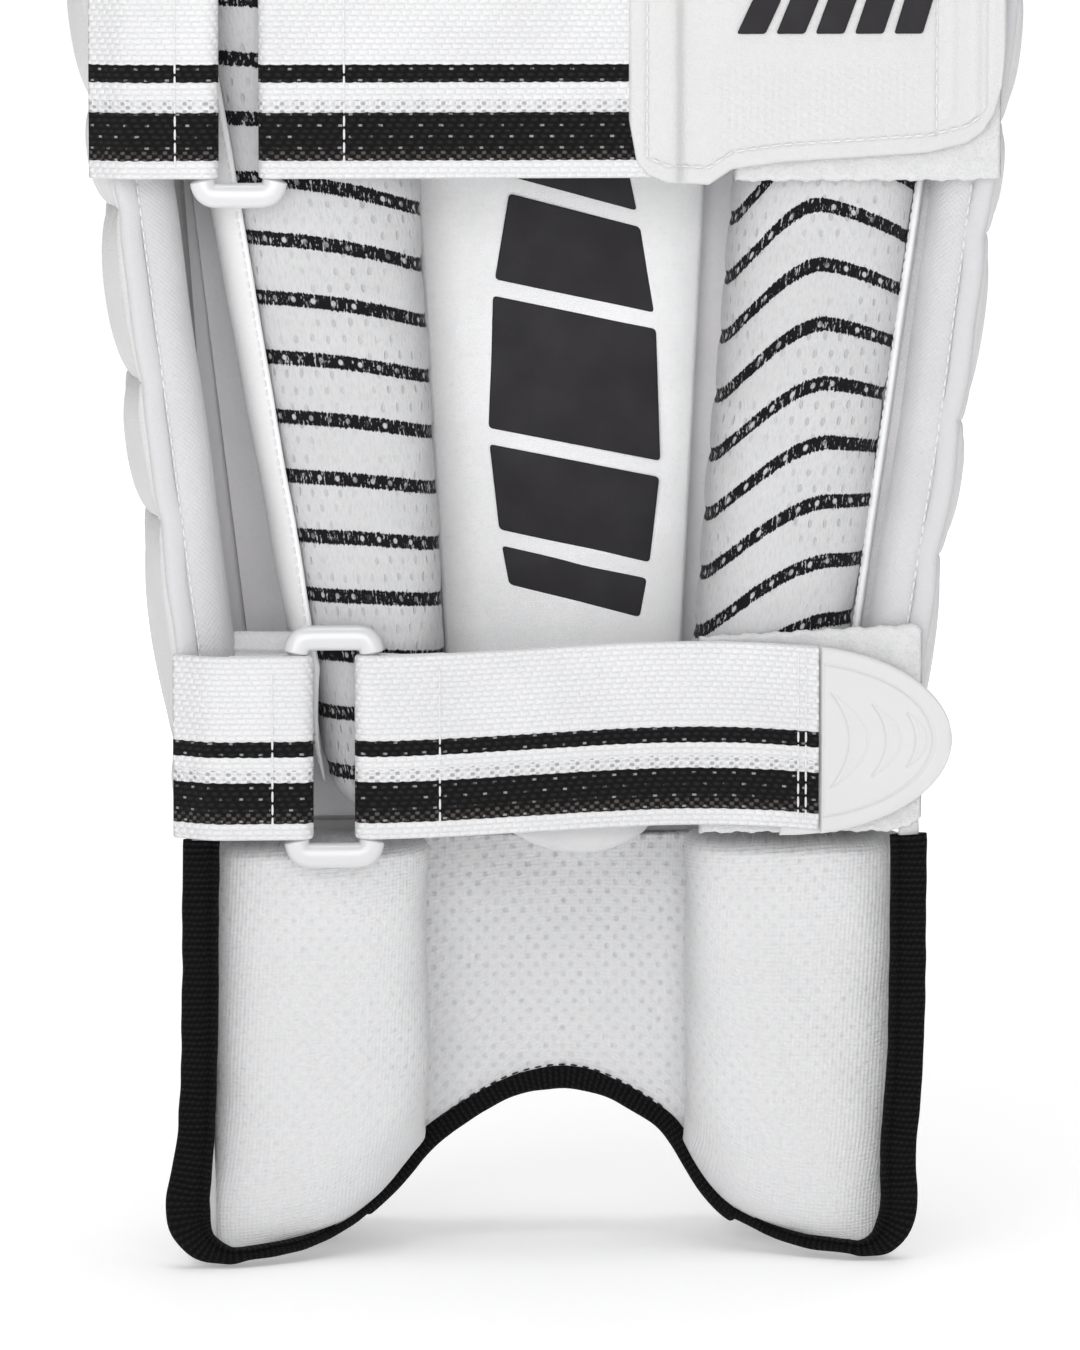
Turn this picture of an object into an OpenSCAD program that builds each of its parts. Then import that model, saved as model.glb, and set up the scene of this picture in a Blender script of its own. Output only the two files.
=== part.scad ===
// Cricket batting leg pad for the right leg, standing on its boot section.
// Leg side faces -Y, strike face +Y, height +Z, floor at Z = 0, millimetres.

/* [Shin] */
// Height of the hinge line below the lowest knee roll
shin_h = 392; // [360:1:420]
// Half width of the pad at the top of the boot section
ankle_half = 96; // [86:1:106]
// Outward lean of the side wings in degrees
wing_lean = 7.35; // [5:0.05:9]
// Thickness of a side wing
wing_t = 15; // [12:0.5:18]
// Spacing of the shin rolls at the floor
roll_pitch_low = 22; // [20:0.5:24]
// Spacing of the shin rolls at the knee
roll_pitch_top = 31; // [28:0.5:33]
// Radius of a cane rod
cane_r = 4.5; // [3.5:0.25:5.5]
// Thickness of the stiff board behind the rolls
board_t = 4; // [3:0.5:5]

/* [Boot section] */
// Height of the boot section
boot_h = 112; // [100:1:125]
// Wall thickness of the boot section's sides
boot_t = 8; // [6:0.5:10]
// Wall thickness of the boot section's front
boot_front_t = 4; // [3:0.5:5]
// Height of the boot arch
arch_h = 39; // [30:1:50]
// Sideways place of the arch and of the leg channel
arch_x = 4; // [0:1:10]

/* [Knee and top hat] */
// Height of one knee roll
knee_pitch = 40; // [36:1:44]
// Half width of the knee rolls to the centre line
knee_half = 110; // [100:1:118]
// Height of the whole pad
pad_h = 780; // [700:5:840]
// Half width of the top hat at its foot
hat_half_low = 112; // [100:1:120]
// Half width of the top hat near its top
hat_half_top = 98; // [88:1:108]

/* [Straps] */
// Width of the ankle and thigh webbing
web_w = 48; // [38:1:52]
// Width of the calf webbing
calf_w = 70; // [50:1:75]
// Thickness of one layer of webbing
web_t = 1.9; // [1.5:0.1:2.5]
// Radius of the upright bars of a buckle ring
bar_r = 2.1; // [1.8:0.1:2.5]
// Height of the lower edge of the ankle strap
ankle_z = 113.5; // [108:0.5:120]
// Height of the lower edge of the calf strap
calf_z = 285; // [275:1:300]
// Height of the lower edge of the thigh strap
thigh_z = 534; // [528:1:545]

/* [Hidden] */
oy = 9.3;                        // shift that centres the pad front to back
gap = 0.3;
wing_r = 128;                    // outer radius of a wing in plan
wing_cy = -20;                   // plan centre of the wing arcs
wing_back = 14.2;                // rear end of a wing, degrees behind the side
wing_len = (shin_h - 7 - boot_h - 0.5) / cos(wing_lean);
board_r = 900;                   // plan radius of the board
hat_z = shin_h + 3 * knee_pitch; // foot of the top hat
left_seams = [112.5, 132, 195, 231, 276, 303, 342, 385];
right_seams = [112.5, 130, 185, 220, 269, 298, 337, 385];
arch_half = 52;
arch_r = (arch_half * arch_half + arch_h * arch_h) / (2 * arch_h);
arch_cz = arch_h - arch_r;
roll_low_r = 10.8;
roll_top_r = 15.2;
hat_roll_low_r = 15.4;
hat_roll_top_r = 13.2;
ankle_bars = [-66, -46.5];
calf_bars = [-90, -71];
thigh_bars = [-90, -71];
bar_y = -61.5;                   // bars of the ankle and calf rings
thigh_y = -52;                   // bars of the thigh ring
loop_r = bar_r + 0.4;            // inside radius of a webbing fold
face_y = loop_r + web_t;         // bar centre to the outside of the webbing

// ---- shared shapes -------------------------------------------------------

module pad() translate([0, oy, 0]) children();

function pw(v, p) = sign(v) * pow(abs(v), p);
function mix(a, b, t) = a + (b - a) * t;
// rounded closed ring at height z, e = 2 is an ellipse, larger is squarer
function ring(x, y, a, b, e, z, n) =
  [for (i = [0:n - 1]) let (t = 360 * i / n) [x + a * pw(cos(t), 2 / e), y + b * pw(sin(t), 2 / e), z]];
// ring square to the plan direction d, standing in height
function hoop(c, d, a, b, e, n) =
  [for (i = [0:n - 1]) let (t = 360 * i / n, u = a * pw(cos(t), 2 / e), v = b * pw(sin(t), 2 / e))
    [c[0] - d[1] * u, c[1] + d[0] * u, c[2] + v]];

module loft(rings) {
  n = len(rings[0]);
  m = len(rings);
  polyhedron(
    points = [for (r = rings) each r],
    faces = concat(
      [[for (i = [0:n - 1]) i]],
      [for (j = [0:m - 2], i = [0:n - 1]) [j * n + i, (j + 1) * n + i, (j + 1) * n + (i + 1) % n]],
      [for (j = [0:m - 2], i = [0:n - 1]) [j * n + i, (j + 1) * n + (i + 1) % n, j * n + (i + 1) % n]],
      [[for (i = [n - 1:-1:0]) (m - 1) * n + i]]));
}

// front outline, drawn in X and Z, run through the depth y0..y1
module through(y0, y1) translate([0, y1, 0]) rotate([90, 0, 0]) linear_extrude(y1 - y0) children();

// ---- shin ----------------------------------------------------------------

function board_y(x) = 2 - x * x / (2 * board_r);
function roll_r(z) = mix(roll_low_r, roll_top_r, z / shin_h);
function roll_x(k, z) = k * mix(roll_pitch_low, roll_pitch_top, z / shin_h);
function roll_at(k, z) = [roll_x(k, z), board_y(roll_x(k, z)) + roll_r(z) + 0.25, z];
function arch_at(x) = abs(x - arch_x) < arch_half
  ? sqrt(arch_r * arch_r - pow(x - arch_x, 2)) + arch_cz : 0;
function roll_foot(k) = abs(k) == 3 ? 0.8 : arch_at(k * roll_pitch_low) + 6 + roll_low_r;
function roll_head(k) = shin_h - 3.2 - roll_top_r;

// lays children, drawn along +Z from the origin, from point a towards point b
module aim(a, b) {
  v = b - a;
  translate(a) rotate([0, acos(v[2] / norm(v)), atan2(v[1], v[0])]) children();
}

module roll(a, b, ra, rb, dome, bore) {
  l = norm(b - a);
  aim(a, b) rotate_extrude($fn = 64) difference() {
    intersection() {
      union() {
        if (dome) circle(ra, $fn = 64);
        translate([0, l]) circle(rb, $fn = 64);
        polygon([[0, 0], [ra, 0], [rb, l], [0, l]]);
      }
      translate([0, -40]) square([40, l + 80]);
    }
    if (bore > 0) translate([-1, -60]) square([bore + 1, l + 52]);
  }
}

module shin_roll(k) {
  a = roll_at(k, roll_foot(k));
  b = roll_at(k, roll_head(k));
  pad() roll(a, b, roll_r(a[2]) - 0.1, roll_r(b[2]) - 0.1, abs(k) < 3, cane_r + 0.15);
}

module shin_roll_1() { color("#f2f2f0") shin_roll(-3); }
module shin_roll_2() { color("#f2f2f0") shin_roll(-2); }
module shin_roll_3() { color("#f2f2f0") shin_roll(-1); }
module shin_roll_4() { color("#f2f2f0") shin_roll(0); }
module shin_roll_5() { color("#f2f2f0") shin_roll(1); }
module shin_roll_6() { color("#f2f2f0") shin_roll(2); }
module shin_roll_7() { color("#f2f2f0") shin_roll(3); }

module shin_canes() {
  color("#d8b377") pad() for (k = [-3:3]) {
    a = roll_at(k, roll_foot(k));
    b = roll_at(k, roll_head(k));
    aim(a, b) translate([0, 0, 6]) cylinder(r = cane_r, h = norm(b - a) - 14.3, $fn = 48);
  }
}

// curved sheet standing between two plan radii, cut to a front outline
module curved_sheet(front, thick) {
  difference() {
    translate([0, front - board_r, -20]) cylinder(r = board_r, h = pad_h + 40, $fn = 200);
    translate([0, front - board_r, -21]) cylinder(r = board_r - thick, h = pad_h + 42, $fn = 200);
  }
}

module shin_board() {
  color("#c9c9c4") pad() intersection() {
    curved_sheet(2, board_t);
    through(-60, 40) polygon([[-76, 49], [76, 49], [101, shin_h - 4], [-101, shin_h - 4]]);
  }
}

module back_lining() {
  color("#e9e9ee") pad() intersection() {
    curved_sheet(2 - board_t - gap, 4);
    through(-60, 40) polygon([[-71, boot_h + 1], [71, boot_h + 1], [104, shin_h - 5], [-104, shin_h - 5]]);
  }
}

// ---- side wings, drawn in a frame that leans with the wing ---------------

module wing_frame(s) {
  pad() mirror([s < 0 ? 1 : 0, 0, 0])
    translate([ankle_half, wing_cy, boot_h + 0.5]) rotate([0, wing_lean, 0])
      translate([-wing_r, 0, 0]) children();
}

module arc_of(a0, a1) rotate([0, 0, a0]) rotate_extrude(angle = a1 - a0, $fn = 256) children();

module lobe(z0, z1, front) {
  t = wing_t / 2;
  arc_of(-wing_back, front) {
    translate([wing_r - t, z0 + t]) circle(t, $fn = 48);
    translate([wing_r - t, z1 - t]) circle(t, $fn = 48);
    translate([wing_r - wing_t, z0 + t]) square([wing_t, z1 - z0 - wing_t]);
  }
}

module wing(s, seams) {
  c = 1 / cos(wing_lean);
  wing_frame(s) {
    for (i = [0:len(seams) - 2])
      lobe((seams[i] - seams[0]) * c, (seams[i + 1] - seams[0]) * c,
        6 + 8.5 * (seams[i] - seams[0]) / (seams[len(seams) - 1] - seams[0]));
    arc_of(-wing_back, 5.5) translate([wing_r - wing_t + 2.5, 4]) square([wing_t - 5, wing_len - 8]);
  }
}

module wall_lining(s) {
  wing_frame(s) arc_of(-wing_back, 4)
    translate([wing_r - wing_t - 2.4, 2]) square([2.1, wing_len - 6]);
}

module piping(s) {
  r = wing_r - wing_t / 2;
  wing_frame(s)
    translate([r * cos(wing_back) - 3.3 * sin(wing_back), -r * sin(wing_back) - 3.3 * cos(wing_back), 4])
      cylinder(r = 3, h = wing_len - 8, $fn = 40);
}

module left_wing() { color("#f4f4f2") wing(-1, left_seams); }
module right_wing() { color("#f4f4f2") wing(1, right_seams); }
module left_wall_lining() { color("#efeff2") wall_lining(-1); }
module right_wall_lining() { color("#efeff2") wall_lining(1); }
module left_piping() { color("#fafafa") piping(-1); }
module right_piping() { color("#fafafa") piping(1); }

// ---- leg side padding ----------------------------------------------------

module centre_panel() {
  color("#f6f6f6") pad() through(-18.5, -10.1) {
    polygon([[-24.5, 139.5], [37.5, 139.5], [49, 380], [-38, 380]]);
    translate([6.5, 139.5]) circle(31, $fn = 96);
  }
}

// inner and outer edges of the bolsters against height
function left_in(z) = mix(-26, -32.5, (z - 164) / 117);
function left_out(z) = z < 164 ? mix(-55, -63, (z - 120) / 44) : mix(-63, -84, (z - 164) / 117);
function right_in(z) = mix(40, 50, (z - 164) / 117);
function right_out(z) = z < 164 ? mix(71, 77.5, (z - 120) / 44) : mix(77.5, 94, (z - 164) / 117);

module bolster(s) {
  zs = [119, 122, 128, 140, 164, 200, 240, 281, 320, 350, 368, 377, 380];
  shrink = [10, 5, 2, 0.5, 0, 0, 0, 0, 0, 0.5, 2, 6, 11];
  loft([for (i = [0:len(zs) - 1]) let (
    z = zs[i],
    a = s < 0 ? left_out(z) : right_in(z),
    b = s < 0 ? left_in(z) : right_out(z),
    w = (b - a) / 2 - shrink[i], d = 21.5 - shrink[i] * 0.9)
    ring((a + b) / 2, -34, w, d, 2.8, z, 24)]);
}

module gusset(s) {
  zs = [121, 128, 140, 164, 200, 240, 281, 320, 350, 368];
  wide = [0.7, 2, 4, 5.2, 5.2, 4.6, 4, 3.6, 3, 1];
  loft([for (i = [0:len(zs) - 1]) let (
    z = zs[i],
    x = s < 0 ? left_out(z) - 0.4 - wide[i] / 2 : right_out(z) + 0.4 + wide[i] / 4,
    w = s < 0 ? wide[i] / 2 : wide[i] / 4)
    ring(x, -28, w, 12, 3, z, 12)]);
}

module left_bolster() { color("#e6e6ea") pad() bolster(-1); }
module right_bolster() { color("#e6e6ea") pad() bolster(1); }
module left_gusset() { color("#fbfbfb") pad() gusset(-1); }
module right_gusset() { color("#fbfbfb") pad() gusset(1); }

// ---- boot section --------------------------------------------------------

// U in plan: front wall behind the rolls, side walls running back
module boot_plan(g) {
  difference() {
    boot_solid(30 + g, -35.8, -55 - g);
    boot_solid(30 - boot_t - g, -35.8 + boot_t - boot_front_t, -80);
  }
}

// plan of the boot with its front corners rounded about y = cy
module boot_solid(r, cy, back) {
  for (s = [-1, 1]) translate([65 * s, cy]) circle(r, $fn = 96);
  translate([-65, back]) square([130, cy + r - back]);
  translate([-65 - r, back]) square([130 + 2 * r, cy - back]);
}

module boot_walls(g) {
  difference() {
    boot_plan(g);
    translate([-57, -90]) square([114, 55]);
  }
}

module arch_cut(g) through(-80, 60) translate([arch_x, arch_cz]) circle(arch_r + g, $fn = 160);

module boot_shell() {
  color("#ededf0") pad() difference() {
    translate([0, 0, 2.2]) linear_extrude(boot_h - 2.2) boot_walls(0);
    arch_cut(0);
  }
}

module boot_pad(x0, x1, low) {
  zs = [low, low + 2.5, low + 7, low + 15, low + 28, 60, 88, 100, 108, 111.5];
  shrink = [12, 7, 3.5, 1.2, 0, 0, 0, 0.6, 2.5, 6];
  difference() {
    loft([for (i = [0:len(zs) - 1])
      ring((x0 + x1) / 2, -34, (x1 - x0) / 2 - shrink[i], 18 - shrink[i], 2.4, zs[i], 24)]);
    through(-19.6, 0) translate([arch_x, arch_cz]) circle(arch_r + 8.4, $fn = 96);
  }
}

module boot_left_pad() { color("#e4e4e9") pad() boot_pad(-86, -31, 4); }
module boot_right_pad() { color("#e4e4e9") pad() boot_pad(38, 86, 4); }

module boot_arch_pad() {
  color("#eeeef2") pad() difference() {
    through(-17.4, -10.1) polygon([[-30.5, 12], [37.5, 12], [37.5, 107.5], [-30.5, 107.5]]);
    arch_cut(0.3);
  }
}

// folded tape over the rear edge and the hem of one side wall
module side_tape(s) {
  difference() {
    union() {
      linear_extrude(11) boot_walls(1.7);
      linear_extrude(boot_h + 1) intersection() {
        boot_walls(1.7);
        translate([-120, -60]) square([240, 15]);
      }
    }
    translate([0, 0, 2]) linear_extrude(boot_h + 5) boot_walls(0.1);
    translate([s < 0 ? -57 : -133, -80, -5]) cube([190, 160, boot_h + 20]);
    arch_cut(8.2);
  }
}

module left_binding() { color("#19181a") pad() side_tape(-1); }
module right_binding() { color("#19181a") pad() side_tape(1); }

module arch_binding() {
  color("#19181a") pad() difference() {
    through(-19.2, -4) intersection() {
      difference() {
        translate([arch_x, arch_cz]) circle(arch_r + 8, $fn = 160);
        translate([arch_x, arch_cz]) circle(arch_r - 2, $fn = 160);
      }
      translate([-64, 0]) square([128, 60]);
    }
    through(-17.7, -5.6) difference() {
      translate([-90, 0]) square([180, 90]);
      translate([arch_x, arch_cz]) circle(arch_r - 0.1, $fn = 160);
    }
  }
}

// ---- knee ----------------------------------------------------------------

function knee_path(t) = [knee_half * sin(t), -14 + 38 * cos(t)];
function knee_dir(t) = let (v = [knee_half * cos(t), -38 * sin(t)]) v / norm(v);

module knee_roll(i) {
  ts = [-100, -97, -90, -78, -60, -40, -20, 0, 20, 40, 60, 78, 90, 97, 100];
  z = shin_h + (i + 0.5) * knee_pitch;
  loft([for (t = ts) let (
    p = knee_path(t),
    u = abs(t) / 100,
    f = abs(t) > 98 ? 0.5 : abs(t) > 95 ? 0.8 : 1,
    r = (knee_pitch / 2 - gap) * (1 - 0.14 * pow(u, 4)) * f)
    hoop([p[0], p[1], z], knee_dir(t), 18 * (1 - 0.3 * pow(u, 3)) * f, r, 2.3, 20)]);
}

module knee_cushion(i) {
  xs = [-72, -69, -62, -40, 0, 40, 62, 69, 72];
  shrink = [8, 4, 1.2, 0, 0, 0, 1.2, 4, 8];
  z = shin_h + (i + 0.5) * knee_pitch;
  loft([for (k = [0:len(xs) - 1])
    hoop([xs[k] + 4, -11.5 - 0.0012 * xs[k] * xs[k], z], [1, 0], 13 - shrink[k],
      knee_pitch / 2 - 3.2 - shrink[k], 2.6, 16)]);
}

module knee_roll_lower() { color("#f5f5f3") pad() knee_roll(0); }
module knee_roll_middle() { color("#f5f5f3") pad() knee_roll(1); }
module knee_roll_upper() { color("#f5f5f3") pad() knee_roll(2); }
module knee_cushion_lower() { color("#e6e6ea") pad() knee_cushion(0); }
module knee_cushion_middle() { color("#e6e6ea") pad() knee_cushion(1); }
module knee_cushion_upper() { color("#e6e6ea") pad() knee_cushion(2); }

// ---- top hat -------------------------------------------------------------

function hat_half(z) = mix(hat_half_low, hat_half_top, (z - hat_z) / (pad_h - hat_z));
function hat_corner(g, s) = [for (i = [0:10]) let (t = s > 0 ? 9 * i : 90 - 9 * i)
  [s * (hat_half(pad_h - 40) - 40 + (37 + g) * cos(t)), pad_h - 43 + (37 + g) * sin(t)]];
function hat_line(g) = concat(
  [[-hat_half(hat_z) - g + 3, hat_z + 5], [hat_half(hat_z) + g - 3, hat_z + 5]],
  hat_corner(g, 1), hat_corner(g, -1));

module top_hat_board() {
  color("#c9c9c4") pad() intersection() {
    curved_sheet(2, board_t);
    through(-60, 40) polygon(hat_line(0));
  }
}

module top_hat_lining() {
  color("#e9e9ee") pad() intersection() {
    curved_sheet(2 - board_t - gap, 9);
    through(-60, 40) polygon(hat_line(0));
  }
}

module top_hat_rolls() {
  color("#f4f4f2") pad() for (k = [-3:3]) {
    z1 = pad_h - 22 - 3.2 * k * k;
    x0 = k * 31.2;
    x1 = k * 27;
    a = [x0, board_y(x0) + hat_roll_low_r + 0.25, hat_z + 4 + hat_roll_low_r];
    b = [x1, board_y(x1) + hat_roll_top_r + 0.25, z1 - 4];
    roll(a, b, hat_roll_low_r - 0.1, hat_roll_top_r - 0.1, true, 0);
  }
}

module top_hat_binding() {
  color("#fafafa") pad() difference() {
    through(-14.5, 3.6) difference() {
      polygon(hat_line(3));
      polygon(hat_line(-5));
      translate([-200, hat_z]) square([400, 54]);
    }
    intersection() {
      curved_sheet(2.1, 9 + board_t + 0.6);
      through(-60, 40) polygon(hat_line(0.1));
    }
    intersection() {
      curved_sheet(20, 18);
      through(-60, 60) polygon(hat_line(-1.5));
    }
  }
}

module thigh_wing(s) {
  pad() mirror([s < 0 ? 1 : 0, 0, 0]) translate([64, -8, 0]) rotate([0, 0, -40])
    rotate_extrude(angle = 26, $fn = 160) for (i = [0, 1]) translate([0, hat_z + 18 + 28 * i]) {
      translate([50, 7.5]) circle(7.5, $fn = 48);
      translate([50, 20.7]) circle(7.5, $fn = 48);
      translate([42.5, 7.5]) square([15, 13.2]);
      if (i == 0) translate([46, 20]) square([8, 14]);
    }
}

module thigh_left_wing() { color("#f4f4f2") thigh_wing(-1); }
module thigh_right_wing() { color("#f4f4f2") thigh_wing(1); }

// ---- straps --------------------------------------------------------------

// short piece sewn to the side wall and folded round the first bar
module anchor(x0, bx, y, z, h) {
  pad() translate([0, 0, z]) linear_extrude(h) difference() {
    union() {
      translate([bx, y]) circle(face_y, $fn = 64);
      translate([x0 + 12, y - face_y]) square([bx - x0 - 12, web_t]);
      translate([x0 + 16, y - face_y + web_t + 0.05]) square([bx - x0 - 19, web_t]);
      polygon([[x0, y + 3.6], [x0 + 2.2, y + 4.7], [x0 + 12.4, y - face_y + web_t], [x0 + 12, y - face_y]]);
    }
    translate([bx, y]) circle(loop_r, $fn = 64);
  }
}

// rectangular ring: two upright bars, two flat end bars
module buckle(bars, y, z, h) {
  pad() {
    for (x = bars) translate([x, y, z - 3]) cylinder(r = bar_r, h = h + 6, $fn = 48);
    for (e = [z - 7.4, z + h + 0.6]) translate([0, 0, e]) linear_extrude(6.8) {
      for (x = bars) translate([x, y]) circle(3.1, $fn = 48);
      translate([bars[0], y - 3.1]) square([bars[1] - bars[0], 6.2]);
    }
  }
}

// long piece folded round the second bar and sewn to its tab
module long_strap(bx, x1, y, z, h) {
  pad() translate([0, 0, z]) linear_extrude(h) difference() {
    union() {
      translate([bx, y]) circle(face_y, $fn = 64);
      translate([bx, y - face_y]) square([x1 - bx, web_t]);
      translate([bx + 3, y - face_y + web_t + 0.05]) square([15, web_t]);
    }
    translate([bx, y]) circle(loop_r, $fn = 64);
  }
}

function half_oval(x0, a, zc, b) = concat([[x0, zc + b], [x0, zc - b]],
  [for (i = [-15:15]) [x0 + 2 + a * cos(6 * i), zc + b * sin(6 * i)]]);

module ankle_tab() {
  zc = ankle_z + web_w / 2;
  s = bar_y - face_y;
  color("#f0f0ee") pad() difference() {
    union() {
      through(s + web_t + 0.05, s + web_t + 2.1) polygon(half_oval(61, 42, zc, 25));
      intersection() {
        through(s - 0.6, s + web_t + 1) polygon(half_oval(61, 41, zc, 24));
        translate([71.6, -90, zc - 40]) cube([60, 60, 80]);
      }
    }
    for (c = [[80, 12], [89, 9], [97.5, 6.5]])
      through(s - 2, s + 0.5) translate([c[0], zc]) intersection() {
        translate([-c[1] * 1.4, 0]) circle(c[1] * 1.75, $fn = 64);
        translate([c[1] * 1.4, 0]) circle(c[1] * 1.75, $fn = 64);
      }
  }
}

module ankle_hook_patch() {
  zc = ankle_z + web_w / 2;
  s = bar_y - face_y + web_t + 2.15;
  color("#dcdce0") pad() through(s, s + 1.3) polygon(half_oval(64, 35, zc, 21));
}

module calf_tab() {
  s = bar_y - face_y;
  low = calf_z - 2;
  top = calf_z + calf_w + 3;
  outline = [[22, low + 5], [25, low + 2], [30, low], [41, low - 0.5], [47, low + 4], [60, low + 5.5],
    [98, low + 8], [108, low + 10], [114, low + 15], [117, low + 24], [118, low + 40], [117, top - 17],
    [113, top - 9], [105, top - 4], [30, top], [24, top - 2], [20, top - 6]];
  color("#f2f2f0") pad() difference() {
    through(s + web_t + 0.05, s + web_t + 2.3) polygon(outline);
    translate([104, s, calf_z + 8]) rotate([-90, 0, 0]) translate([0, 0, -1]) cylinder(r = 1.2, h = 1.2);
  }
}

module calf_hook_patch() {
  s = bar_y - face_y + web_t + 2.35;
  color("#dcdce0") pad() through(s, s + 1.2) translate([52, calf_z + 9]) square([58, 52]);
}

module thigh_tab() {
  zc = thigh_z + web_w / 2;
  s = thigh_y - face_y;
  color("#f0f0ee") pad() difference() {
    union() {
      through(s + web_t + 0.05, s + web_t + 2.1) polygon(half_oval(67, 42, zc, 25));
      intersection() {
        through(s - 0.6, s + web_t + 1) polygon(half_oval(67, 41, zc, 24));
        translate([77.6, -90, zc - 40]) cube([60, 60, 80]);
      }
    }
    for (c = [[86, 12], [95, 9], [103.5, 6.5]])
      through(s - 2, s + 0.5) translate([c[0], zc]) intersection() {
        translate([-c[1] * 1.4, 0]) circle(c[1] * 1.75, $fn = 64);
        translate([c[1] * 1.4, 0]) circle(c[1] * 1.75, $fn = 64);
      }
  }
}

module thigh_hook_patch() {
  zc = thigh_z + web_w / 2;
  s = thigh_y - face_y + web_t + 2.15;
  color("#dcdce0") pad() through(s, s + 1.3) polygon(half_oval(70, 35, zc, 21));
}

// brushed landing band sewn across the bolster and the side wall
module loop_band(x0, x1, y, t, z, h) {
  pad() translate([x0, y, z]) cube([x1 - x0, t, h]);
}

module ankle_anchor() { color("#f4f4f6") anchor(-98, ankle_bars[0], bar_y, ankle_z, web_w); }
module ankle_ring() { color("#fbfbfd") buckle(ankle_bars, bar_y, ankle_z, web_w); }
module ankle_strap() { color("#f4f4f6") long_strap(ankle_bars[1], 71, bar_y, ankle_z, web_w); }
module ankle_loop_patch() { color("#e8e8ee") loop_band(39, 97.5, -60.2, 4.2, ankle_z - 0.5, 53); }
module calf_anchor() { color("#f4f4f6") anchor(-119, calf_bars[0], bar_y, calf_z, calf_w); }
module calf_ring() { color("#fbfbfd") buckle(calf_bars, bar_y, calf_z, calf_w); }
module calf_strap() { color("#f4f4f6") long_strap(calf_bars[1], 30, bar_y, calf_z, calf_w); }
module calf_loop_patch() { color("#e8e8ee") loop_band(48, 117.5, -60.2, 4.2, calf_z - 2, 74); }
module thigh_anchor() { color("#f4f4f6") anchor(-114, thigh_bars[0], thigh_y, thigh_z, web_w); }
module thigh_ring() { color("#fbfbfd") buckle(thigh_bars, thigh_y, thigh_z, web_w); }
module thigh_strap() { color("#f4f4f6") long_strap(thigh_bars[1], 77, thigh_y, thigh_z, web_w); }
module thigh_loop_patch() { color("#e8e8ee") loop_band(60, 112, -50.7, 5, thigh_z - 1, 50); }

shin_board();
shin_roll_1();
shin_roll_2();
shin_roll_3();
shin_roll_4();
shin_roll_5();
shin_roll_6();
shin_roll_7();
shin_canes();
left_wing();
right_wing();
left_wall_lining();
right_wall_lining();
left_piping();
right_piping();
back_lining();
centre_panel();
left_bolster();
right_bolster();
left_gusset();
right_gusset();
boot_shell();
boot_left_pad();
boot_right_pad();
boot_arch_pad();
left_binding();
right_binding();
arch_binding();
knee_roll_lower();
knee_roll_middle();
knee_roll_upper();
knee_cushion_lower();
knee_cushion_middle();
knee_cushion_upper();
top_hat_board();
top_hat_rolls();
top_hat_lining();
top_hat_binding();
thigh_left_wing();
thigh_right_wing();
ankle_anchor();
ankle_ring();
ankle_strap();
ankle_tab();
ankle_hook_patch();
ankle_loop_patch();
calf_anchor();
calf_ring();
calf_strap();
calf_tab();
calf_hook_patch();
calf_loop_patch();
thigh_anchor();
thigh_ring();
thigh_strap();
thigh_tab();
thigh_hook_patch();
thigh_loop_patch();
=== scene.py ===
import math

import bmesh
import bpy
import numpy as np
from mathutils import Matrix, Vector


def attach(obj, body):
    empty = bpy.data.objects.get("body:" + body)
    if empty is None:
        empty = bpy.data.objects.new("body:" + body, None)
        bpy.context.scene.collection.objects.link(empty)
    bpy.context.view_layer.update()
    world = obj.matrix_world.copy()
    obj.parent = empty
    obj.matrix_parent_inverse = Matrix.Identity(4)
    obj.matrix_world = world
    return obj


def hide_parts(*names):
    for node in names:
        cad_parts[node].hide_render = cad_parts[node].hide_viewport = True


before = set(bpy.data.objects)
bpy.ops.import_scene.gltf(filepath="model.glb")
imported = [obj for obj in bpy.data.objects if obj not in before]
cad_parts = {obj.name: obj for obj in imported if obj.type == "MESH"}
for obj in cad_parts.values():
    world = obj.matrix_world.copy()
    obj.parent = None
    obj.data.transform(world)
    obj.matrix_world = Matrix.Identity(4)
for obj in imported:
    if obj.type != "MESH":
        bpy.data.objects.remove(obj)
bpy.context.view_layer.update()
SHIFT = 9.3  # the pad module's shift in part.scad, mm
pi = math.pi

# ---------------------------------------------------------------- materials


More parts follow.
